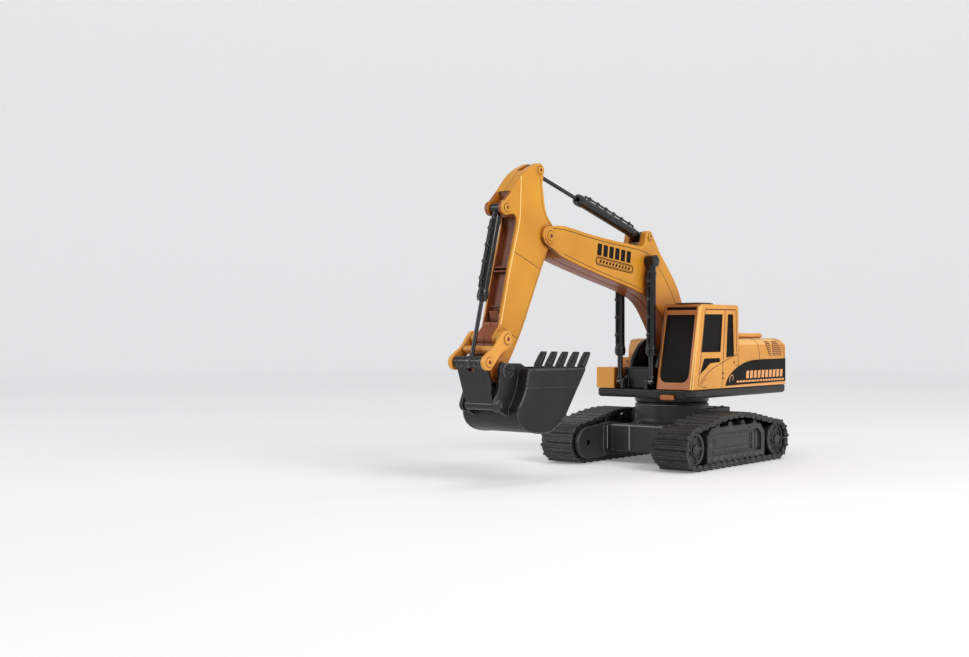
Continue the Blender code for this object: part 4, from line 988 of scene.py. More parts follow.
lid = carved(lid, cuts=[block((lo.x + 5, lo.y + 5 + 4.2 * k, hi.z - 0.7), (hi.x - 5, lo.y + 6.6 + 4.2 * k,
                                                                           hi.z + 1)) for k in range(7)])
settle("engine_lid", lid, MUSTARD, "upper", ("hood_lid",))
rear_bars = [pad((-28.0, 109.9, 71.4 + 2.2 * k), (28.0, 110.6, 72.5 + 2.2 * k), 0.2, 1) for k in range(6)]
settle("rear_grille", joined(*rear_bars), SLOT_BLACK, "upper")
small = [bolt((-32.0, 3.0 - 0.1, 87.0), (0, -1, 0), 0.9, 0.5), bolt((-32.0, -12.1, 80.5), (0, -1, 0), 0.9,
                                                                    0.5), bolt((-36.5, -12.1, 80.5),
                                                                               (0, -1, 0), 0.9, 0.5),
         bolt((STAIR_IN, -4.0, 80.0), (1, 0, 0), 0.9, 0.5), bolt((STAIR_IN, 8.0, 92.0), (1, 0, 0), 0.9,
                                                                 0.5)]
settle("side_box_screws", joined(*small), RUST_LINE, "upper")

# painted swoosh, plain bars in place of lettering
SWOOSH = smooth_line([(8.2, 61.4), (11.5, 66.6), (17.0, 71.2), (27.8, 76.4), (40.0, 79.8), (53.0, 81.5),
                      (70.0, 82.0)], 5)
SWOOSH = SWOOSH + [(108.4, 82.0), (108.4, 62.4), (60.0, 62.0), (20.0, 61.6)]
swoosh, bars = [], []
for s in (1, -1):
    shape = SWOOSH if s > 0 else [(max(y, CREAR + 1.2), z) for y, z in SWOOSH[6:]]
    swoosh.append(prism(shape, s * (HX - PRINT_IN), s * (HX + FIELD_OUT)))
    first = 41.0 if s > 0 else 47.0
    for k in range(10 if s > 0 else 9):
        y = first + 6.35 * k
        bars.append(prism([(y, 66.5), (y + 4.3, 66.6), (y + 5.2, 72.9), (y + 0.9, 72.8)], s * (HX + 0.02),
                          s * (HX + 0.22)))
    for k in range(17 if s > 0 else 14):
        y = first - 15.0 + 4.72 * k if s > 0 else 40.0 + 4.72 * k
        bars.append(prism([(y, 63.5), (y + 3.7, 63.5), (y + 3.9, 65.1), (y + 0.2, 65.1)], s * (HX + 0.02),
                          s * (HX + 0.2)))
    edge = 11.0 if s > 0 else 36.0
    bars.append(prism([(edge, 59.8), (108.0, 59.9), (108.0, 61.3), (edge, 61.0)], s * (HX - PRINT_IN),
                      s * (HX + FIELD_OUT)))
bars.append(prism(band(smooth_line([(14.6, 64.4), (15.6, 68.0), (18.4, 70.0), (20.6, 68.4),
                                    (19.4, 65.6)]), 0.7), HX, HX + 0.22))
settle("side_swoosh", joined(*swoosh), INK, "upper")
settle("side_bars", joined(*bars), ORANGE_INK, "upper")

# what sits inside the body
for node, mat in (("battery_pack", CELL), ("control_board", BOARD), ("slew_motor", STEEL)):
    dress(node, mat)

# ---- boom bracket ----
base = [(-35.0, CZ), (33.5, CZ), (33.5, 66.0), (4.0, 66.0), (-3.0, 76.7), (-33.0, 76.7), (-35.0, 74.7)]
bracket = plate_of(base, BOOM_X - 13.8, BOOM_X + 13.8, 0.9, 3)
cheek = smooth_line([(-29.0, 74.0), (-28.6, 77.4), (-25.8, 84.2), (-20.5, 91.0), (-15.0, 95.9),
                     (-6.0, 99.6), (4.0, 101.0), (22.0, 100.0), (29.0, 95.0), (33.5, 86.0)],
                    4) + [(33.5, 62.0), (-29.0, 62.0)]
adds = [plate_of(cheek, BOOM_X + s * (BOOM_HALF + 0.3), BOOM_X + s * (BOOM_HALF + 3.3), 0.5) for s in (1, -1)]
extra = []
for s in (1, -1):
    lug = [(RAM_FOOT[0] - 3.2, CZ), (-33.0, CZ), (-33.0, 70.0), (-35.0, 70.0)] + arc(RAM_FOOT, 3.2, 60,
                                                                                     180, 8)
    extra.append(plate_of(lug, BOOM_X + s * (RAM_X - 5.0), BOOM_X + s * (RAM_X - 2.2), 0.3))
    extra.append(rod(p3(BOOM_X + s * (RAM_X - 3.0), RAM_FOOT), p3(BOOM_X + s * (RAM_X + 2.3), RAM_FOOT),
                     1.4, 20, 0.3))
    x = BOOM_X + s * (BOOM_HALF + 3.3)
    extra.append(boss(x, FOOT, 5.4, 0.8, 2.6, s))
bracket = carved(bracket, adds=adds, cuts=[through(FOOT, 2.5, 28)])
settle("boom_stand", joined(bracket, *extra), JET, "upper", ("boom_bracket",))


def cross_pin(name, yz, half, r, head, mat, body, node, thick=1.0):
    """A cross pin: domed heads with a socket in each."""
    prof = [(0, -half + 0.55), (head * 0.36, -half + 0.55), (head * 0.44, -half + 0.1),
            (head * 0.74, -half), (head, -half + 0.35), (head, -half + thick), (r, -half + thick),
            (r, half - thick), (head, half - thick), (head, half - 0.35), (head * 0.74, half),
            (head * 0.44, half - 0.1), (head * 0.36, half - 0.55), (0, half - 0.55)]
    # the socket faces take a black finish on gloss pins and a dark brown one on the rest: painted shade in
    # the recess
    return settle(name, turned(prof, p3(BOOM_X, yz), p3(BOOM_X + 1, yz), 36), mat, body, (node,),
                  second=SLOT_BLACK if mat is JET_GLOSS else RUST_LINE,
                  where=lambda n, c: math.dist((c.y, c.z), yz) < head * 0.43)


cross_pin("boom_foot_axle", FOOT, BOOM_HALF + 4.5, 2.2, 3.4, STEEL, "upper", "boom_foot_pin", 0.9)

# ---- boom ----
boom_side = arc(ARM_PIN, 7.6, 232, 118, 16)
boom_side += [(-156.5, 181.8), (-150.0, 182.6), (-142.8, 182.7), (-131.0, 181.2), (-120.9, 179.6),
              (-107.0, 177.9), (-94.0, 176.6), (-80.0, 175.4), (-68.8, 174.5), (-56.0, 173.6),
              (-46.0, 172.9), (-42.6, 174.4)]
boom_side += arc(ARM_RAM_HEAD, 4.6, 175, 35, 12)
boom_side += smooth_line([(-20.9, 169.7), (-6.9, 155.4), (4.3, 142.4), (12.4, 128.2), (20.5, 110.0),
                          (26.5, 94.0)], 4)
boom_side += arc(FOOT, 10.2, 20, -170, 18)
boom_side += smooth_line([(4.0, 85.0), (-6.6, 101.7), (-17.0, 115.5), (-24.0, 123.6), (-32.0, 130.0),
                          (-42.0, 134.2), (-52.0, 136.9), (-65.9, 140.4), (-94.0, 146.4), (-127.5, 154.3),
                          (-146.7, 159.6), (-155.6, 163.9)], 3)
PINSTRIPE = smooth_line([(-157.6, 180.0), (-150.0, 179.9), (-142.0, 179.6), (-121.0, 176.8),
                         (-94.0, 173.6), (-68.8, 171.5), (-50.0, 169.9), (-38.0, 167.4), (-27.0, 161.4),
                         (-15.4, 149.8), (-5.0, 138.0), (2.9, 125.6), (10.6, 109.4), (15.6, 97.0)], 5)
LOWER_LINE = smooth_line([(-146.0, 162.4), (-127.0, 157.2), (-94.0, 149.2), (-66.0, 143.4),
                          (-50.0, 139.6), (-40.0, 136.6)], 4)
for side, s in SIDES:
    x0, x1 = BOOM_X + s * SLIT, BOOM_X + s * BOOM_HALF
    shell = plate_of(boom_side, x0, x1, 0.9, 3, 42.0)
    reach, far, ear = BOOM_X + s * (ARM_HALF + 0.3), BOOM_X - s * 2.0, BOOM_X + s * 5.3
    cuts = [block((far, -185.0, 150.0), (reach, ARM_PIN[0] + 15.2, 200.0)),
            block((far, -46.0, 173.2), (ear, -18.0, 195.0))]
    for at, r in ((ARM_PIN, BIG_BORE), (ARM_RAM_HEAD, 1.9), (RAM_HEAD, 1.9), (FOOT, BIG_BORE)):
        cuts.append(through(at, r))
    cuts += lines([PINSTRIPE, LOWER_LINE], x1 - s * 0.35, x1 + s, 0.5)
    shell = carved(shell, cuts=cuts)
    parts = [shell, boss(x1, ARM_PIN, 6.0, 0.7, 3.6, s), boss(x1, ARM_RAM_HEAD, 3.9, 0.5, 2.6, s)]
    # faces turned down, and down and forwards, take the dark amber: painted shade
    settle(f"boom_half_{side}", joined(*parts), DEEP_MUSTARD, "boom", (f"boom_shell_{side}",),
           second=PAINTED_SHADE_DARK_AMBER, where=lambda n, c: n.z < -0.55
           or (n.z < -0.2 and n.y < -0.4))
    settle(f"boom_stripe_{side}", joined(*lines([PINSTRIPE], x1 - s * 0.5, x1 - s * 0.12, 0.62)), INK, "boom")
    settle(f"boom_low_line_{side}", joined(*lines([LOWER_LINE], x1 - s * 0.5, x1 - s * 0.2, 0.5)),
           RUST_LINE, "boom")
    label = []
    for k in range(6):
        y = -105.0 + 7.5 * k
        z = 163.4 - 0.105 * (y + 105.0)
        label.append(prism([(y, z), (y + 5.3, z - 0.5), (y + 6.3, z + 8.4), (y + 1.0, z + 8.9)],
                           x1 - s * PRINT_IN, x1 + s * PRINT_OUT))
    a, b = Vector((-103.5, 159.0)), Vector((-61.5, 154.2))
    d = (b - a).normalized()
    up = math.degrees(math.atan2(d.y, d.x))
    for rr, keep in ((3.3, 2.75), (2.2, 1.85)):
        outer = arc(a, rr, up + 90, up + 270, 12) + arc(b, rr, up - 90, up + 90, 12)
        inner_ring = arc(a, keep, up + 90, up + 270, 12) + arc(b, keep, up - 90, up + 90, 12)
        label.append(carved(prism(outer, x1 - s * PRINT_IN, x1 + s * PRINT_OUT),
                            cuts=[prism(inner_ring, x1 - s, x1 + s)]))
    for k in range(10):
        c = a + d * (2.6 + 4.1 * k)
        n = Vector((-d.y, d.x))
        quad = [c - d * 1.2 - n, c + d * 1.0 - n, c + d * 1.4 + n, c - d * 0.8 + n]
        label.append(prism([tuple(q) for q in quad], x1 - s * PRINT_IN, x1 + s * PRINT_OUT))
    settle(f"boom_bars_{side}", joined(*label), INK, "boom")
cross_pin("arm_pivot_axle", ARM_PIN, BOOM_HALF + 1.3, 2.0, 3.6, DEEP_MUSTARD, "boom", "arm_pivot_pin",
          1.0)
cross_pin("arm_cylinder_axle", ARM_RAM_HEAD, BOOM_HALF + 1.2, 1.5, 2.6, DEEP_MUSTARD, "boom",
          "arm_cylinder_pin", 1.0)
dress("boom_cylinder_pin", JET_GLOSS)


# ---- cylinders ----
def barrel(x, head, end, length, r, bore, lugs, lug_r, eye):
    """A cylinder barrel with turned rings, a collar at its mouth and an eye at its head.

    lugs are the two x ends of the eye; bore is the hole for the rod, eye the hole for the pin."""
    a, b = p3(x, head), p3(x, along(head, end, length))
    start = max(3.2, eye + 0.25)
    prof = [(bore, 6.5), (bore, length), (r - 0.5, length), (r - 0.1, length - 0.4),
            (r - 0.1, length - 1.4), (r + 0.3, length - 1.8), (r + 0.38, length - 2.4),
            (r + 0.38, length - 5.6), (r + 0.3, length - 6.0), (r + 0.1, length - 6.4),
            (r + 0.1, length - 7.6), (r - 0.25, length - 8.0), (r - 0.25, 11.2), (r + 0.1, 10.8),
            (r + 0.1, 8.4), (r - 0.3, 8.0), (r - 0.3, start), (bore, start)]
    body = turned(prof, a, b, 40)
    x0, x1 = lugs
    cap = turned([(eye, 0), (lug_r - 0.5, 0), (lug_r, 0.5), (lug_r, abs(x1 - x0) - 0.5),
                  (lug_r - 0.5, abs(x1 - x0)), (eye, abs(x1 - x0))], p3(x0, head), p3(x1, head), 40)
    return [body, cap]


def pressure_pipe(x, head, end, off, start, stop, clips):
    """A thin pipe beside a barrel, bent in at both ends and held by clips."""
    r = 0.8

    def point(t, k):
        """A place at t along the barrel and at share k of the way out to the pipe."""
        c = along(head, end, t)
        return p3(x, (c[0] + off[0] * k, c[1] + off[1] * k))
    path = smooth_line([point(start - 1.0, 0.55), point(start, 0.95), point(start + 2.5, 1.0),
                        point((start + stop) / 2, 1.0), point(stop - 2.5, 1.0), point(stop, 0.95),
                        point(stop + 1.0, 0.55)], 4)
    parts = [tube(path, r, 12)]
    for k in range(clips):
        t = start + (stop - start) * (k + 0.5) / clips
        parts.append(rod(point(t, 0.6), point(t, 1.24), 1.05, 16, 0.25))
        c0, c1 = point(t - 1.3, 1.0), point(t + 1.3, 1.0)
        parts.append(rod(c0, c1, r + 0.45, 16, 0.25))
        parts.append(rod(point(t, 1.16), point(t, 1.28), 0.7, 12, 0.1))
    return parts


def piston(x, eye_at, top, start, stop, r, eye_r, half, bore):
    """A rod with a wrench flat ring and its eye."""
    length = stop - start
    prof = [(0, 0), (r + 0.5, 0), (r + 0.5, 1.6), (r, 2.0), (r, length - 0.3), (r - 0.3, length), (0, length)]
    a, b = p3(x, along(eye_at, top, start)), p3(x, along(eye_at, top, stop))
    eye = turned([(bore, 0), (eye_r - 0.4, 0), (eye_r, 0.4), (eye_r, 2 * half - 0.4),
                  (eye_r - 0.4, 2 * half), (bore, 2 * half)], p3(x - half, eye_at), p3(x + half, eye_at),
                 36)
    return joined(turned(prof, a, b, 32), eye)


for side, s in SIDES:
    x = BOOM_X + s * RAM_X
    tag = side[0]
    parts = barrel(x, RAM_HEAD, RAM_FOOT, 75.5, 4.0, 2.5, (BOOM_X + s * 11.5, BOOM_X + s * 19.9), 4.6, 3.2)
    parts.append(turned([(0, 0), (4.2, 0), (4.7, 0.4), (4.7, 0.8), (3.6, 1.1), (1.6, 1.1), (1.2, 0.7),
                         (0, 0.7)], p3(x + s * 3.8, RAM_HEAD), p3(x + s * 6, RAM_HEAD), 36))
    parts += pressure_pipe(x, RAM_HEAD, RAM_FOOT, (-5.2, 0.0), 9.0, 66.0, 4)
    parts.append(pad((x - 2.6, RAM_HEAD[0] - 3.9, 139.0), (x + 2.6, RAM_HEAD[0] - 3.2, 141.0), 0.2, 1))
    settle(f"boom_ram_{side}", joined(*parts), JET_GLOSS, f"boom_barrel_{tag}", (f"boom_barrel_{side}",))
    settle(f"boom_ram_rod_{side}", piston(x, RAM_FOOT, RAM_HEAD, 2.6, 70.0, 2.2, 3.1, 1.9, 1.5), CHROME,
           f"boom_rod_{tag}", (f"boom_rod_{side}",))

parts = barrel(BOOM_X, ARM_RAM_HEAD, ARM_RAM_END, 84.0, 4.2, 1.8, (BOOM_X - 4.9, BOOM_X + 4.9), 4.2, 1.6)
parts += pressure_pipe(BOOM_X, ARM_RAM_HEAD, ARM_RAM_END, (1.6, 5.5), 10.0, 74.0, 6)
settle("arm_ram", joined(*parts), JET_GLOSS, "arm_cylinder", ("arm_barrel",))
settle("arm_ram_rod", piston(BOOM_X, ARM_RAM_END, ARM_RAM_HEAD, 4.0, 74.0, 1.5, 4.8, 2.2, 3.5), CHROME,
       "arm_cylinder_rod", ("arm_rod",))

parts = barrel(BOOM_X, TIP_RAM_HEAD, LINK_PIN, 67.0, 3.6, 1.8, (BOOM_X - 4.6, BOOM_X + 4.6), 3.7, 1.6)
parts += pressure_pipe(BOOM_X, TIP_RAM_HEAD, LINK_PIN, (-4.7, 1.2), 10.0, 58.0, 4)
settle("tip_ram", joined(*parts), JET_GLOSS, "tip_cylinder", ("tip_barrel",))
settle("tip_ram_rod", piston(BOOM_X, LINK_PIN, TIP_RAM_HEAD, 3.6, 56.0, 1.5, 4.4, 2.3, 3.1), CHROME,
       "tip_cylinder_rod", ("tip_rod",))

# ---- arm ----
ARM_FRONT = smooth_line([(-197.0, 187.6), (-193.8, 183.0), (-198.0, 165.7), (-202.9, 149.3),
                         (-208.0, 129.0), (-213.0, 109.0)], 3)
ARM_REAR = smooth_line([(-202.2, 84.6), (-199.0, 89.0), (-188.3, 106.5), (-174.0, 135.6), (-159.9, 164.3)], 3)
ARM_NECK = smooth_line([(-152.4, 170.5), (-151.3, 176.5), (-154.0, 182.4), (-159.8, 188.4), (-162.9, 195.4),
                        (-164.2, 203.3), (-165.6, 211.0)], 4)
arm_side = [(-172.4, 225.0), (-178.5, 222.4), (-186.5, 217.2), (-192.5, 211.0), (-199.0, 203.6)]
arm_side += arc(TIP_RAM_HEAD, 5.3, 100, 300, 16) + ARM_FRONT
arm_side += arc(ROCKER_PIN, ROCKER_R, 160, 210, 5) + [(-220.5, 88.0)]
arm_side += arc(BUCKET_PIN, 8.8, 150, 352, 22) + ARM_REAR + ARM_NECK
arm_side += arc(ARM_RAM_END, 5.2, -30, 110, 12)
REAR_LINE = smooth_line([(-168.3, 216.0), (-167.4, 205.0), (-165.8, 195.6), (-162.2, 188.4),
                         (-156.6, 181.8)], 5)
REAR_LOW = smooth_line([(-162.4, 163.0), (-176.0, 135.4), (-190.4, 106.6), (-200.4, 90.2)], 5)
ARM_LINES = [[(-197.4, 161.4), (-169.2, 150.4)], [(-210.2, 108.2), (-193.6, 100.4)]]
CHANNEL = [(-215.0, 112.0), (-207.9, 112.0), (-203.6, 129.0), (-198.4, 149.3), (-193.6, 165.7),
           (-190.2, 178.0), (-190.4, 186.0), (-205.0, 186.0), (-212.0, 150.0)]
for side, s in SIDES:
    x0, x1 = BOOM_X + s * SLIT, BOOM_X + s * ARM_HALF
    shell = plate_of(arm_side, x0, x1, 0.8, 3, 42.0)
    edge, far = BOOM_X + s * (LINK_IN - 0.3), BOOM_X - s * 2.0
    adds = [rod(p3(BOOM_X + s, ROCKER_PIN), p3(edge, ROCKER_PIN), 5.2, 36, 0.5),
            rod(p3(BOOM_X + s, BUCKET_PIN), p3(edge - s * 0.3, BUCKET_PIN), 6.4, 40, 0.5)]
    cuts = [prism(CHANNEL, far, BOOM_X + s * 6.3),
            block((far, -182.0, 213.5), (BOOM_X + s * 2.6, -155.0, 235.0)),
            block((far, -216.0, 178.0), (BOOM_X + s * 5.0, -197.6, 204.0))]
    for at, r in ((ARM_PIN, 2.08), (ARM_RAM_END, SMALL_BORE), (TIP_RAM_HEAD, SMALL_BORE),
                  (ROCKER_PIN, BIG_BORE), (BUCKET_PIN, BIG_BORE)):
        cuts.append(through(at, r, 28))
    cuts += lines(ARM_LINES + [REAR_LINE, REAR_LOW], x1 - s * 0.4, x1 + s, 0.5)
    shell = carved(shell, adds=adds, cuts=cuts)
    parts = [shell, boss(x1, TIP_RAM_HEAD, 4.4, 0.6, 2.9, s), boss(x1, ARM_RAM_END, 4.3, 0.6, 2.9, s)]
    # the front channel and faces turned down take the dark amber: painted shade
    settle(f"arm_half_{side}", joined(*parts), DEEP_MUSTARD, "arm", (f"arm_shell_{side}",),
           second=PAINTED_SHADE_DARK_AMBER, where=lambda n, c: (n.y < -0.5 and c.z < 205
                                                                    and abs(c.x - BOOM_X) < 6.5)
           or n.z < -0.75 or (abs(c.x - BOOM_X) < 6.4 and -212 < c.y < -186 and 112 < c.z < 187))
    settle(f"arm_lines_{side}", joined(*lines(ARM_LINES + [REAR_LINE, REAR_LOW], x1 - s * 0.55,
                                              x1 - s * 0.18, 0.55)), RUST_LINE, "arm")
    # a pale bead along the arm's front edge: painted highlight
    bead = [(p[0] + 0.9, p[1]) for p in smooth_line([(-190.2, 214.6), (-191.0, 200.0), (-192.0, 184.0),
                                                     (-197.0, 165.7), (-202.0, 149.3), (-207.2, 129.0),
                                                     (-212.0, 110.0)], 5)]
    settle(f"arm_highlight_bead_{side}", tube([p3(x1 - s * 0.25, p) for p in bead], 0.62, 12), PAINTED_HIGHLIGHT_RIM, "arm")
# ribs inside the arm's channel, in the dark amber: painted shade
inside = []
for z, y in ((150.4, -198.4), (147.6, -199.2)):
    inside.append(pad((BOOM_X - 6.4, y - 3.4, z - 0.55), (BOOM_X + 6.4, y + 1.4, z + 0.55)))
inside.append(plate_of([(-208.4, 112.0), (-209.6, 119.6), (-206.6, 120.6), (-203.6, 119.8),
                        (-203.6, 112.0)], BOOM_X - 4.4, BOOM_X + 4.4, 0.6, 3))
inside.append(pad((BOOM_X - 5.6, -207.0, 122.2), (BOOM_X + 5.6, -202.6, 123.2)))
settle("arm_channel_ribs", joined(*inside), PAINTED_SHADE_DARK_AMBER, "arm")
cross_pin("arm_tail_axle", ARM_RAM_END, ARM_HALF + 1.2, 1.5, 2.8, DEEP_MUSTARD, "arm", "arm_tail_pin",
          1.0)
cross_pin("tip_cylinder_axle", TIP_RAM_HEAD, ARM_HALF + 1.2, 1.5, 2.8, DEEP_MUSTARD, "arm",
          "tip_cylinder_pin", 1.0)

# ---- bucket linkage ----
for side, s in SIDES:
    x0, x1 = BOOM_X + s * LINK_IN, BOOM_X + s * (LINK_IN + LINK_THICK)
    u = (Vector(LINK_PIN) - Vector(ROCKER_PIN)).normalized()
    n = Vector((-u.y, u.x))
    a = math.degrees(math.atan2(u.y, u.x))
    size = math.dist(ROCKER_PIN, LINK_PIN)
    waist = []
    for sign in (1, -1):
        row = [Vector(ROCKER_PIN) + u * (size * t) + n * sign * w for t, w in ((0.24, 5.1), (0.38, 4.2),
                                                                               (0.52, 3.9), (0.66, 4.2),
                                                                               (0.8, 4.9))]
        waist.append([tuple(q) for q in row])
    outline = arc(ROCKER_PIN, ROCKER_R, a + 78, a + 282, 22) + waist[1] + arc(LINK_PIN, 5.6, a - 74,
                                                                              a + 74, 18) + waist[0][::-1]
    plate = plate_of(outline, x0, x1, 0.6, 3, 42.0)
    plate = carved(plate, cuts=[through(at, r, 28, 25.0) for at, r in ((ROCKER_PIN, 2.08), (LINK_PIN, 1.8))])
    settle(f"rocker_{side}", joined(plate, boss(x1, ROCKER_PIN, 4.4, 0.5, 3.5, s), boss(x1, LINK_PIN, 4.3,
                                                                                        0.4, 3.3, s)),
           MUSTARD, "rocker", (f"rocker_plate_{side}",))
mid = middle("rocker_tube")
settle("rocker_cross_tube", rod(p3(BOOM_X - LINK_IN + 0.3, mid), p3(BOOM_X + LINK_IN - 0.3, mid), 2.9, 36,
                                0.4), MUSTARD, "rocker", ("rocker_tube",))
cross_pin("rocker_axle", ROCKER_PIN, LINK_IN + LINK_THICK + 1.2, 2.0, 3.4, MUSTARD, "rocker",
          "rocker_pivot_pin", 1.0)
cross_pin("link_axle", LINK_PIN, LINK_IN + LINK_THICK + 1.0, 1.5, 3.2, MUSTARD, "rocker", "link_pin", 1.0)

half = LINK_IN - 0.3
d = (Vector(BUCKET_LINK) - Vector(LINK_PIN)).normalized()
n = Vector((-d.y, d.x)) * 1.6
web = [tuple(Vector(LINK_PIN) + n), tuple(Vector(LINK_PIN) - n), tuple(Vector(BUCKET_LINK) - n),
       tuple(Vector(BUCKET_LINK) + n)]
link = rod(p3(BOOM_X - half, LINK_PIN), p3(BOOM_X + half, LINK_PIN), 4.0, 40, 0.5)
low = rod(p3(BOOM_X - half + 0.4, BUCKET_LINK), p3(BOOM_X + half - 0.4, BUCKET_LINK), 3.5, 40, 0.5)
link = carved(link, adds=[plate_of(web, BOOM_X - half + 0.4, BOOM_X + half - 0.4, 0.3), low],
              cuts=[block((BOOM_X - 2.8, LINK_PIN[0] - 9.0, LINK_PIN[1] - 6.4),
                          (BOOM_X + 2.8, LINK_PIN[0] + 9.0, LINK_PIN[1] + 9.0)), through(LINK_PIN, 1.58)])
rings = []
for s in (1, -1):
    for k in (5.4, 9.6):
        rings.append(turned([(3.4, 0), (4.3, 0.1), (4.3, 1.0), (3.4, 1.1)], p3(BOOM_X + s * k, LINK_PIN),
                            p3(BOOM_X + s * (k + 1), LINK_PIN), 36))
settle("bucket_pull_link", joined(link, *rings), JET_GLOSS, "link", ("bucket_link",))

# ---- bucket ----
BUCKET_HALF = 25.0
TOOTH_WIDE = 8.6
B0, B1 = BOOM_X - BUCKET_HALF, BOOM_X + BUCKET_HALF
BACK = smooth_line([(-204.4, 66.3), (-208.4, 58.2), (-212.2, 53.0), (-212.8, 47.5), (-210.0, 42.0),
                    (-204.5, 38.0), (-195.0, 35.2), (-183.0, 34.3), (-176.0, 35.6), (-168.0, 39.4),
                    (-159.7, 45.8)], 3)
outer = [(-201.4, 79.8)] + BACK + [(-145.9, 65.1), (-136.4, 78.6), (-139.6, 79.2)]
INSIDE = smooth_line([(-202.3, 65.8), (-206.4, 57.2), (-210.0, 52.2), (-210.6, 47.8), (-208.2, 43.4),
                      (-203.6, 40.0), (-194.6, 37.3), (-183.2, 36.4), (-176.8, 37.5), (-169.2, 41.2),
                      (-161.4, 47.1)], 3)
inner = [(-198.6, 90.0), (-199.3, 79.0)] + INSIDE + [(-147.6, 66.4), (-138.9, 78.9), (-131.0, 90.0)]
tub = plate_of(outer, B0, B1, 0.7, 3, 42.0)
tub = carved(tub, cuts=[prism(inner, B0 + 2.0, B1 - 2.0)])
ear = [(-199.5, 83.4), (-217.0, 84.0)] + arc(BUCKET_PIN, 8.4, 130, 170, 5) + [(-222.4, 66.0)]
ear += arc(BUCKET_LINK, 4.6, 165, 290, 12)
ear += [(-213.5, 47.0), (-210.9, 49.5), (-210.9, 52.5), (-206.9, 58.0), (-203.4, 66.0), (-200.4, 78.6),
        (-194.5, 79.2), (-194.5, 81.0)]
parts, ears = [], []
for s in (1, -1):
    e0, e1 = BOOM_X + s * LINK_IN, BOOM_X + s * (LINK_IN + LINK_THICK)
    ears.append(plate_of(ear, e0, e1, 0.5, 2, 42.0))
    face = BOOM_X + s * BUCKET_HALF
    band_side = [(-200.6, 79.0), (-203.6, 66.4), (-146.8, 65.6), (-138.6, 77.2), (-140.4, 78.4)]
    parts.append(plate_of(band_side, face - s * 0.2, face + s * 0.9, 0.35))
    parts.append(tube([p3(face + s * 0.1, q) for q in smooth_line([(-200.2, 79.2), (-203.2, 66.4),
                                                                   (-206.8, 59.0), (-210.6, 53.4)], 4)],
                      0.55, 10))
    parts.append(tube([p3(face + s * 0.75, q) for q in ((-201.0, 78.9), (-170.0, 78.8), (-140.6, 78.6))],
                      0.5, 10))
    parts.append(tube([p3(face + s * 0.1, q) for q in BACK[2:]], 0.42, 10))
    parts.append(boss(e1, BUCKET_PIN, 5.2, 0.6, 3.5, s))
    parts.append(turned([(0, -0.4), (3.4, -0.4), (3.4, 0.5), (2.9, 1.0), (1.4, 1.0), (1.1, 0.6),
                         (0, 0.6)], p3(e1, BUCKET_LINK), p3(e1 + s, BUCKET_LINK), 28))
tub = carved(tub, adds=ears, cuts=[through(BUCKET_PIN, 2.08, 28)])
lip = Vector((-136.4 + 145.9, 78.6 - 65.1)).normalized()
nrm = Vector((-lip.y, lip.x))
root = Vector((-137.6, 79.0)) + lip * 0.55


def on_lip(pairs):
    """Side points from (outwards from the lip, across it) pairs."""
    return [tuple(root + lip * t + nrm * w) for t, w in pairs]


for k in range(4):
    q = Vector((-149.0, 61.0)) - lip * 0.6
    x = BOOM_X - 18.0 + 12.0 * k
    parts.append(plate_of([(q.x - 4.0, q.y - 6.2), (q.x - 3.2, q.y - 6.6), (q.x + 7.2, q.y + 8.2),
                           (q.x + 6.2, q.y + 9.0)], x - 0.6, x + 0.6, 0.3, 1))
parts.append(plate_of(on_lip(((-3.4, -0.5), (-0.6, -0.5), (-0.6, 1.7), (-3.4, 1.7))), B0 + 2.2, B1 - 2.2,
                      0.3))
settle("digging_bucket", joined(tub, *parts), BUCKET_BLACK, "bucket", ("bucket",))
cross_pin("bucket_axle", BUCKET_PIN, LINK_IN + LINK_THICK + 1.2, 2.0, 3.4, JET_GLOSS, "bucket",
          "bucket_pin", 1.0)
TOOTH_PITCH = (2 * BUCKET_HALF - TOOTH_WIDE) / 4
for k in range(5):
    x = BOOM_X + (k - 2) * TOOTH_PITCH
    shape = on_lip(((0, -1.6), (6, -1.45), (11.6, -0.9), (13.2, -0.35), (13.4, 0.1), (13.2, 0.5),
                    (11.6, 0.9), (6, 1.45), (0, 1.6)))
    tooth = plate_of(shape, x - 2.9, x + 2.9, 0.45, 3, 42.0)
    slot = on_lip(((2.6, -3), (11.0, -3), (11.0, 3), (2.6, 3)))
    tooth = carved(tooth, cuts=[prism(slot, x - 1.15, x + 1.15)])
    spine = plate_of(on_lip(((2.2, -0.25), (11.4, -0.2), (11.4, 0.2), (2.2, 0.25))), x - 1.3, x + 1.3, 0.1, 1)
    settle(f"tooth_{k + 1}", joined(tooth, spine), BUCKET_BLACK, "bucket", (f"bucket_tooth_{k + 1}",))


# ---- floor, light and camera ----
FLOOR_GAP = 0.0002


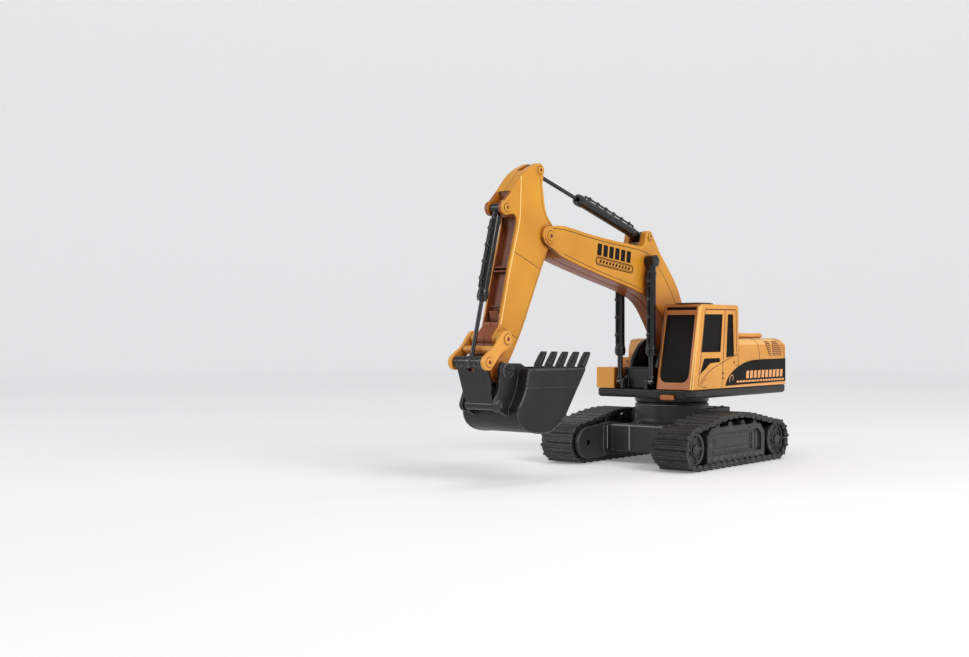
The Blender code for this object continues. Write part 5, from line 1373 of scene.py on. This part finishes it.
def pale_floor():
    """A wide pale dish: flat under the toy, rising softly far around it."""
    flat = [(0.0, 0.0), (0.25, 0.0), (0.6, 0.0), (1.4, 0.0), (2.4, 0.0)]
    rise = [(2.4 + 1.6 * math.sin(DEG(a)), 1.6 * (1 - math.cos(DEG(a)))) for a in range(6, 85, 6)]
    bm = turned([(r, z - FLOOR_GAP) for r, z in flat + rise], (0, 0, 0), (0, 0, 1), TURNED_SIDES)
    if next(iter(bm.faces)).normal.z < 0:
        bmesh.ops.reverse_faces(bm, faces=bm.faces)
    ob = in_scene("pale_floor", bm)
    ob.data.shade_smooth()
    mat = bpy.data.materials.new("floor_paper")
    mat.use_nodes = True
    tree = mat.node_tree
    shader = tree.nodes["Principled BSDF"]
    place = tree.nodes.new("ShaderNodeTexCoord").outputs["Object"]
    away = tree.nodes.new("ShaderNodeVectorMath")
    away.operation = "LENGTH"
    tree.links.new(place, away.inputs[0])
    tone = span_node(tree, noise_node(tree, 3.0, 3.0), 0.3, 0.7)
    near = blend_colour(tree, tone, (0.72, 0.72, 0.725), (0.75, 0.75, 0.75))
    tree.links.new(blend_colour(tree, span_node(tree, away.outputs["Value"], 0.5, 2.6), near,
                                (0.95, 0.95, 0.95)), shader.inputs["Base Color"])
    shader.inputs["Roughness"].default_value = 0.85
    shader.inputs["Emission Color"].default_value = (1.0, 1.0, 1.0, 1.0)
    shader.inputs["Emission Strength"].default_value = 0.17
    shader.inputs["Specular IOR Level"].default_value = 0.2
    ob.data.materials.append(mat)


def soft_light(name, at, target, size, power, colour=(1.0, 1.0, 1.0)):
    """A round soft light aimed at a point."""
    data = bpy.data.lights.new(name, "AREA")
    data.shape = "DISK"
    data.size = size
    data.energy = power
    data.color = colour
    ob = in_scene(name, data)
    ob.location = at
    ob.rotation_euler = (Vector(target) - Vector(at)).to_track_quat("-Z", "Y").to_euler()


pale_floor()
TOY_MIDDLE = (0.0, 0.0, 0.10)
soft_light("key", (1.25, -0.35, 0.95), TOY_MIDDLE, 0.8, 14.0, (1.0, 0.985, 0.96))
soft_light("fill", (-0.9, -1.2, 0.7), TOY_MIDDLE, 0.7, 3.4, (0.97, 0.985, 1.0))
soft_light("top", (-0.1, 0.25, 1.6), (0.0, 0.0, 0.05), 0.9, 4.0)
world = bpy.data.worlds.new("studio")
bpy.context.scene.world = world
world.use_nodes = True
sky = world.node_tree.nodes["Background"]
sky.inputs["Color"].default_value = (0.93, 0.94, 0.96, 1.0)
sky.inputs["Strength"].default_value = 0.55

CAMERA_TURN = 36.23    # degrees, towards the cab's side
CAMERA_LENS = 46.87
CAMERA_SHIFT = (-0.1398, 0.0026)
CAMERA_AT = (0.5803, HOME.y - 0.8644, 0.1058)
camera = bpy.data.cameras.new("camera")
camera.sensor_width = 36.0
camera.lens = CAMERA_LENS
camera.shift_x, camera.shift_y = CAMERA_SHIFT
camera.clip_start = 0.01
camera.clip_end = 30.0
view = in_scene("camera", camera)
view.location = CAMERA_AT
view.rotation_euler = (DEG(90.0), 0.0, DEG(CAMERA_TURN))
bpy.context.scene.camera = view
bpy.context.scene.view_settings.view_transform = "Standard"
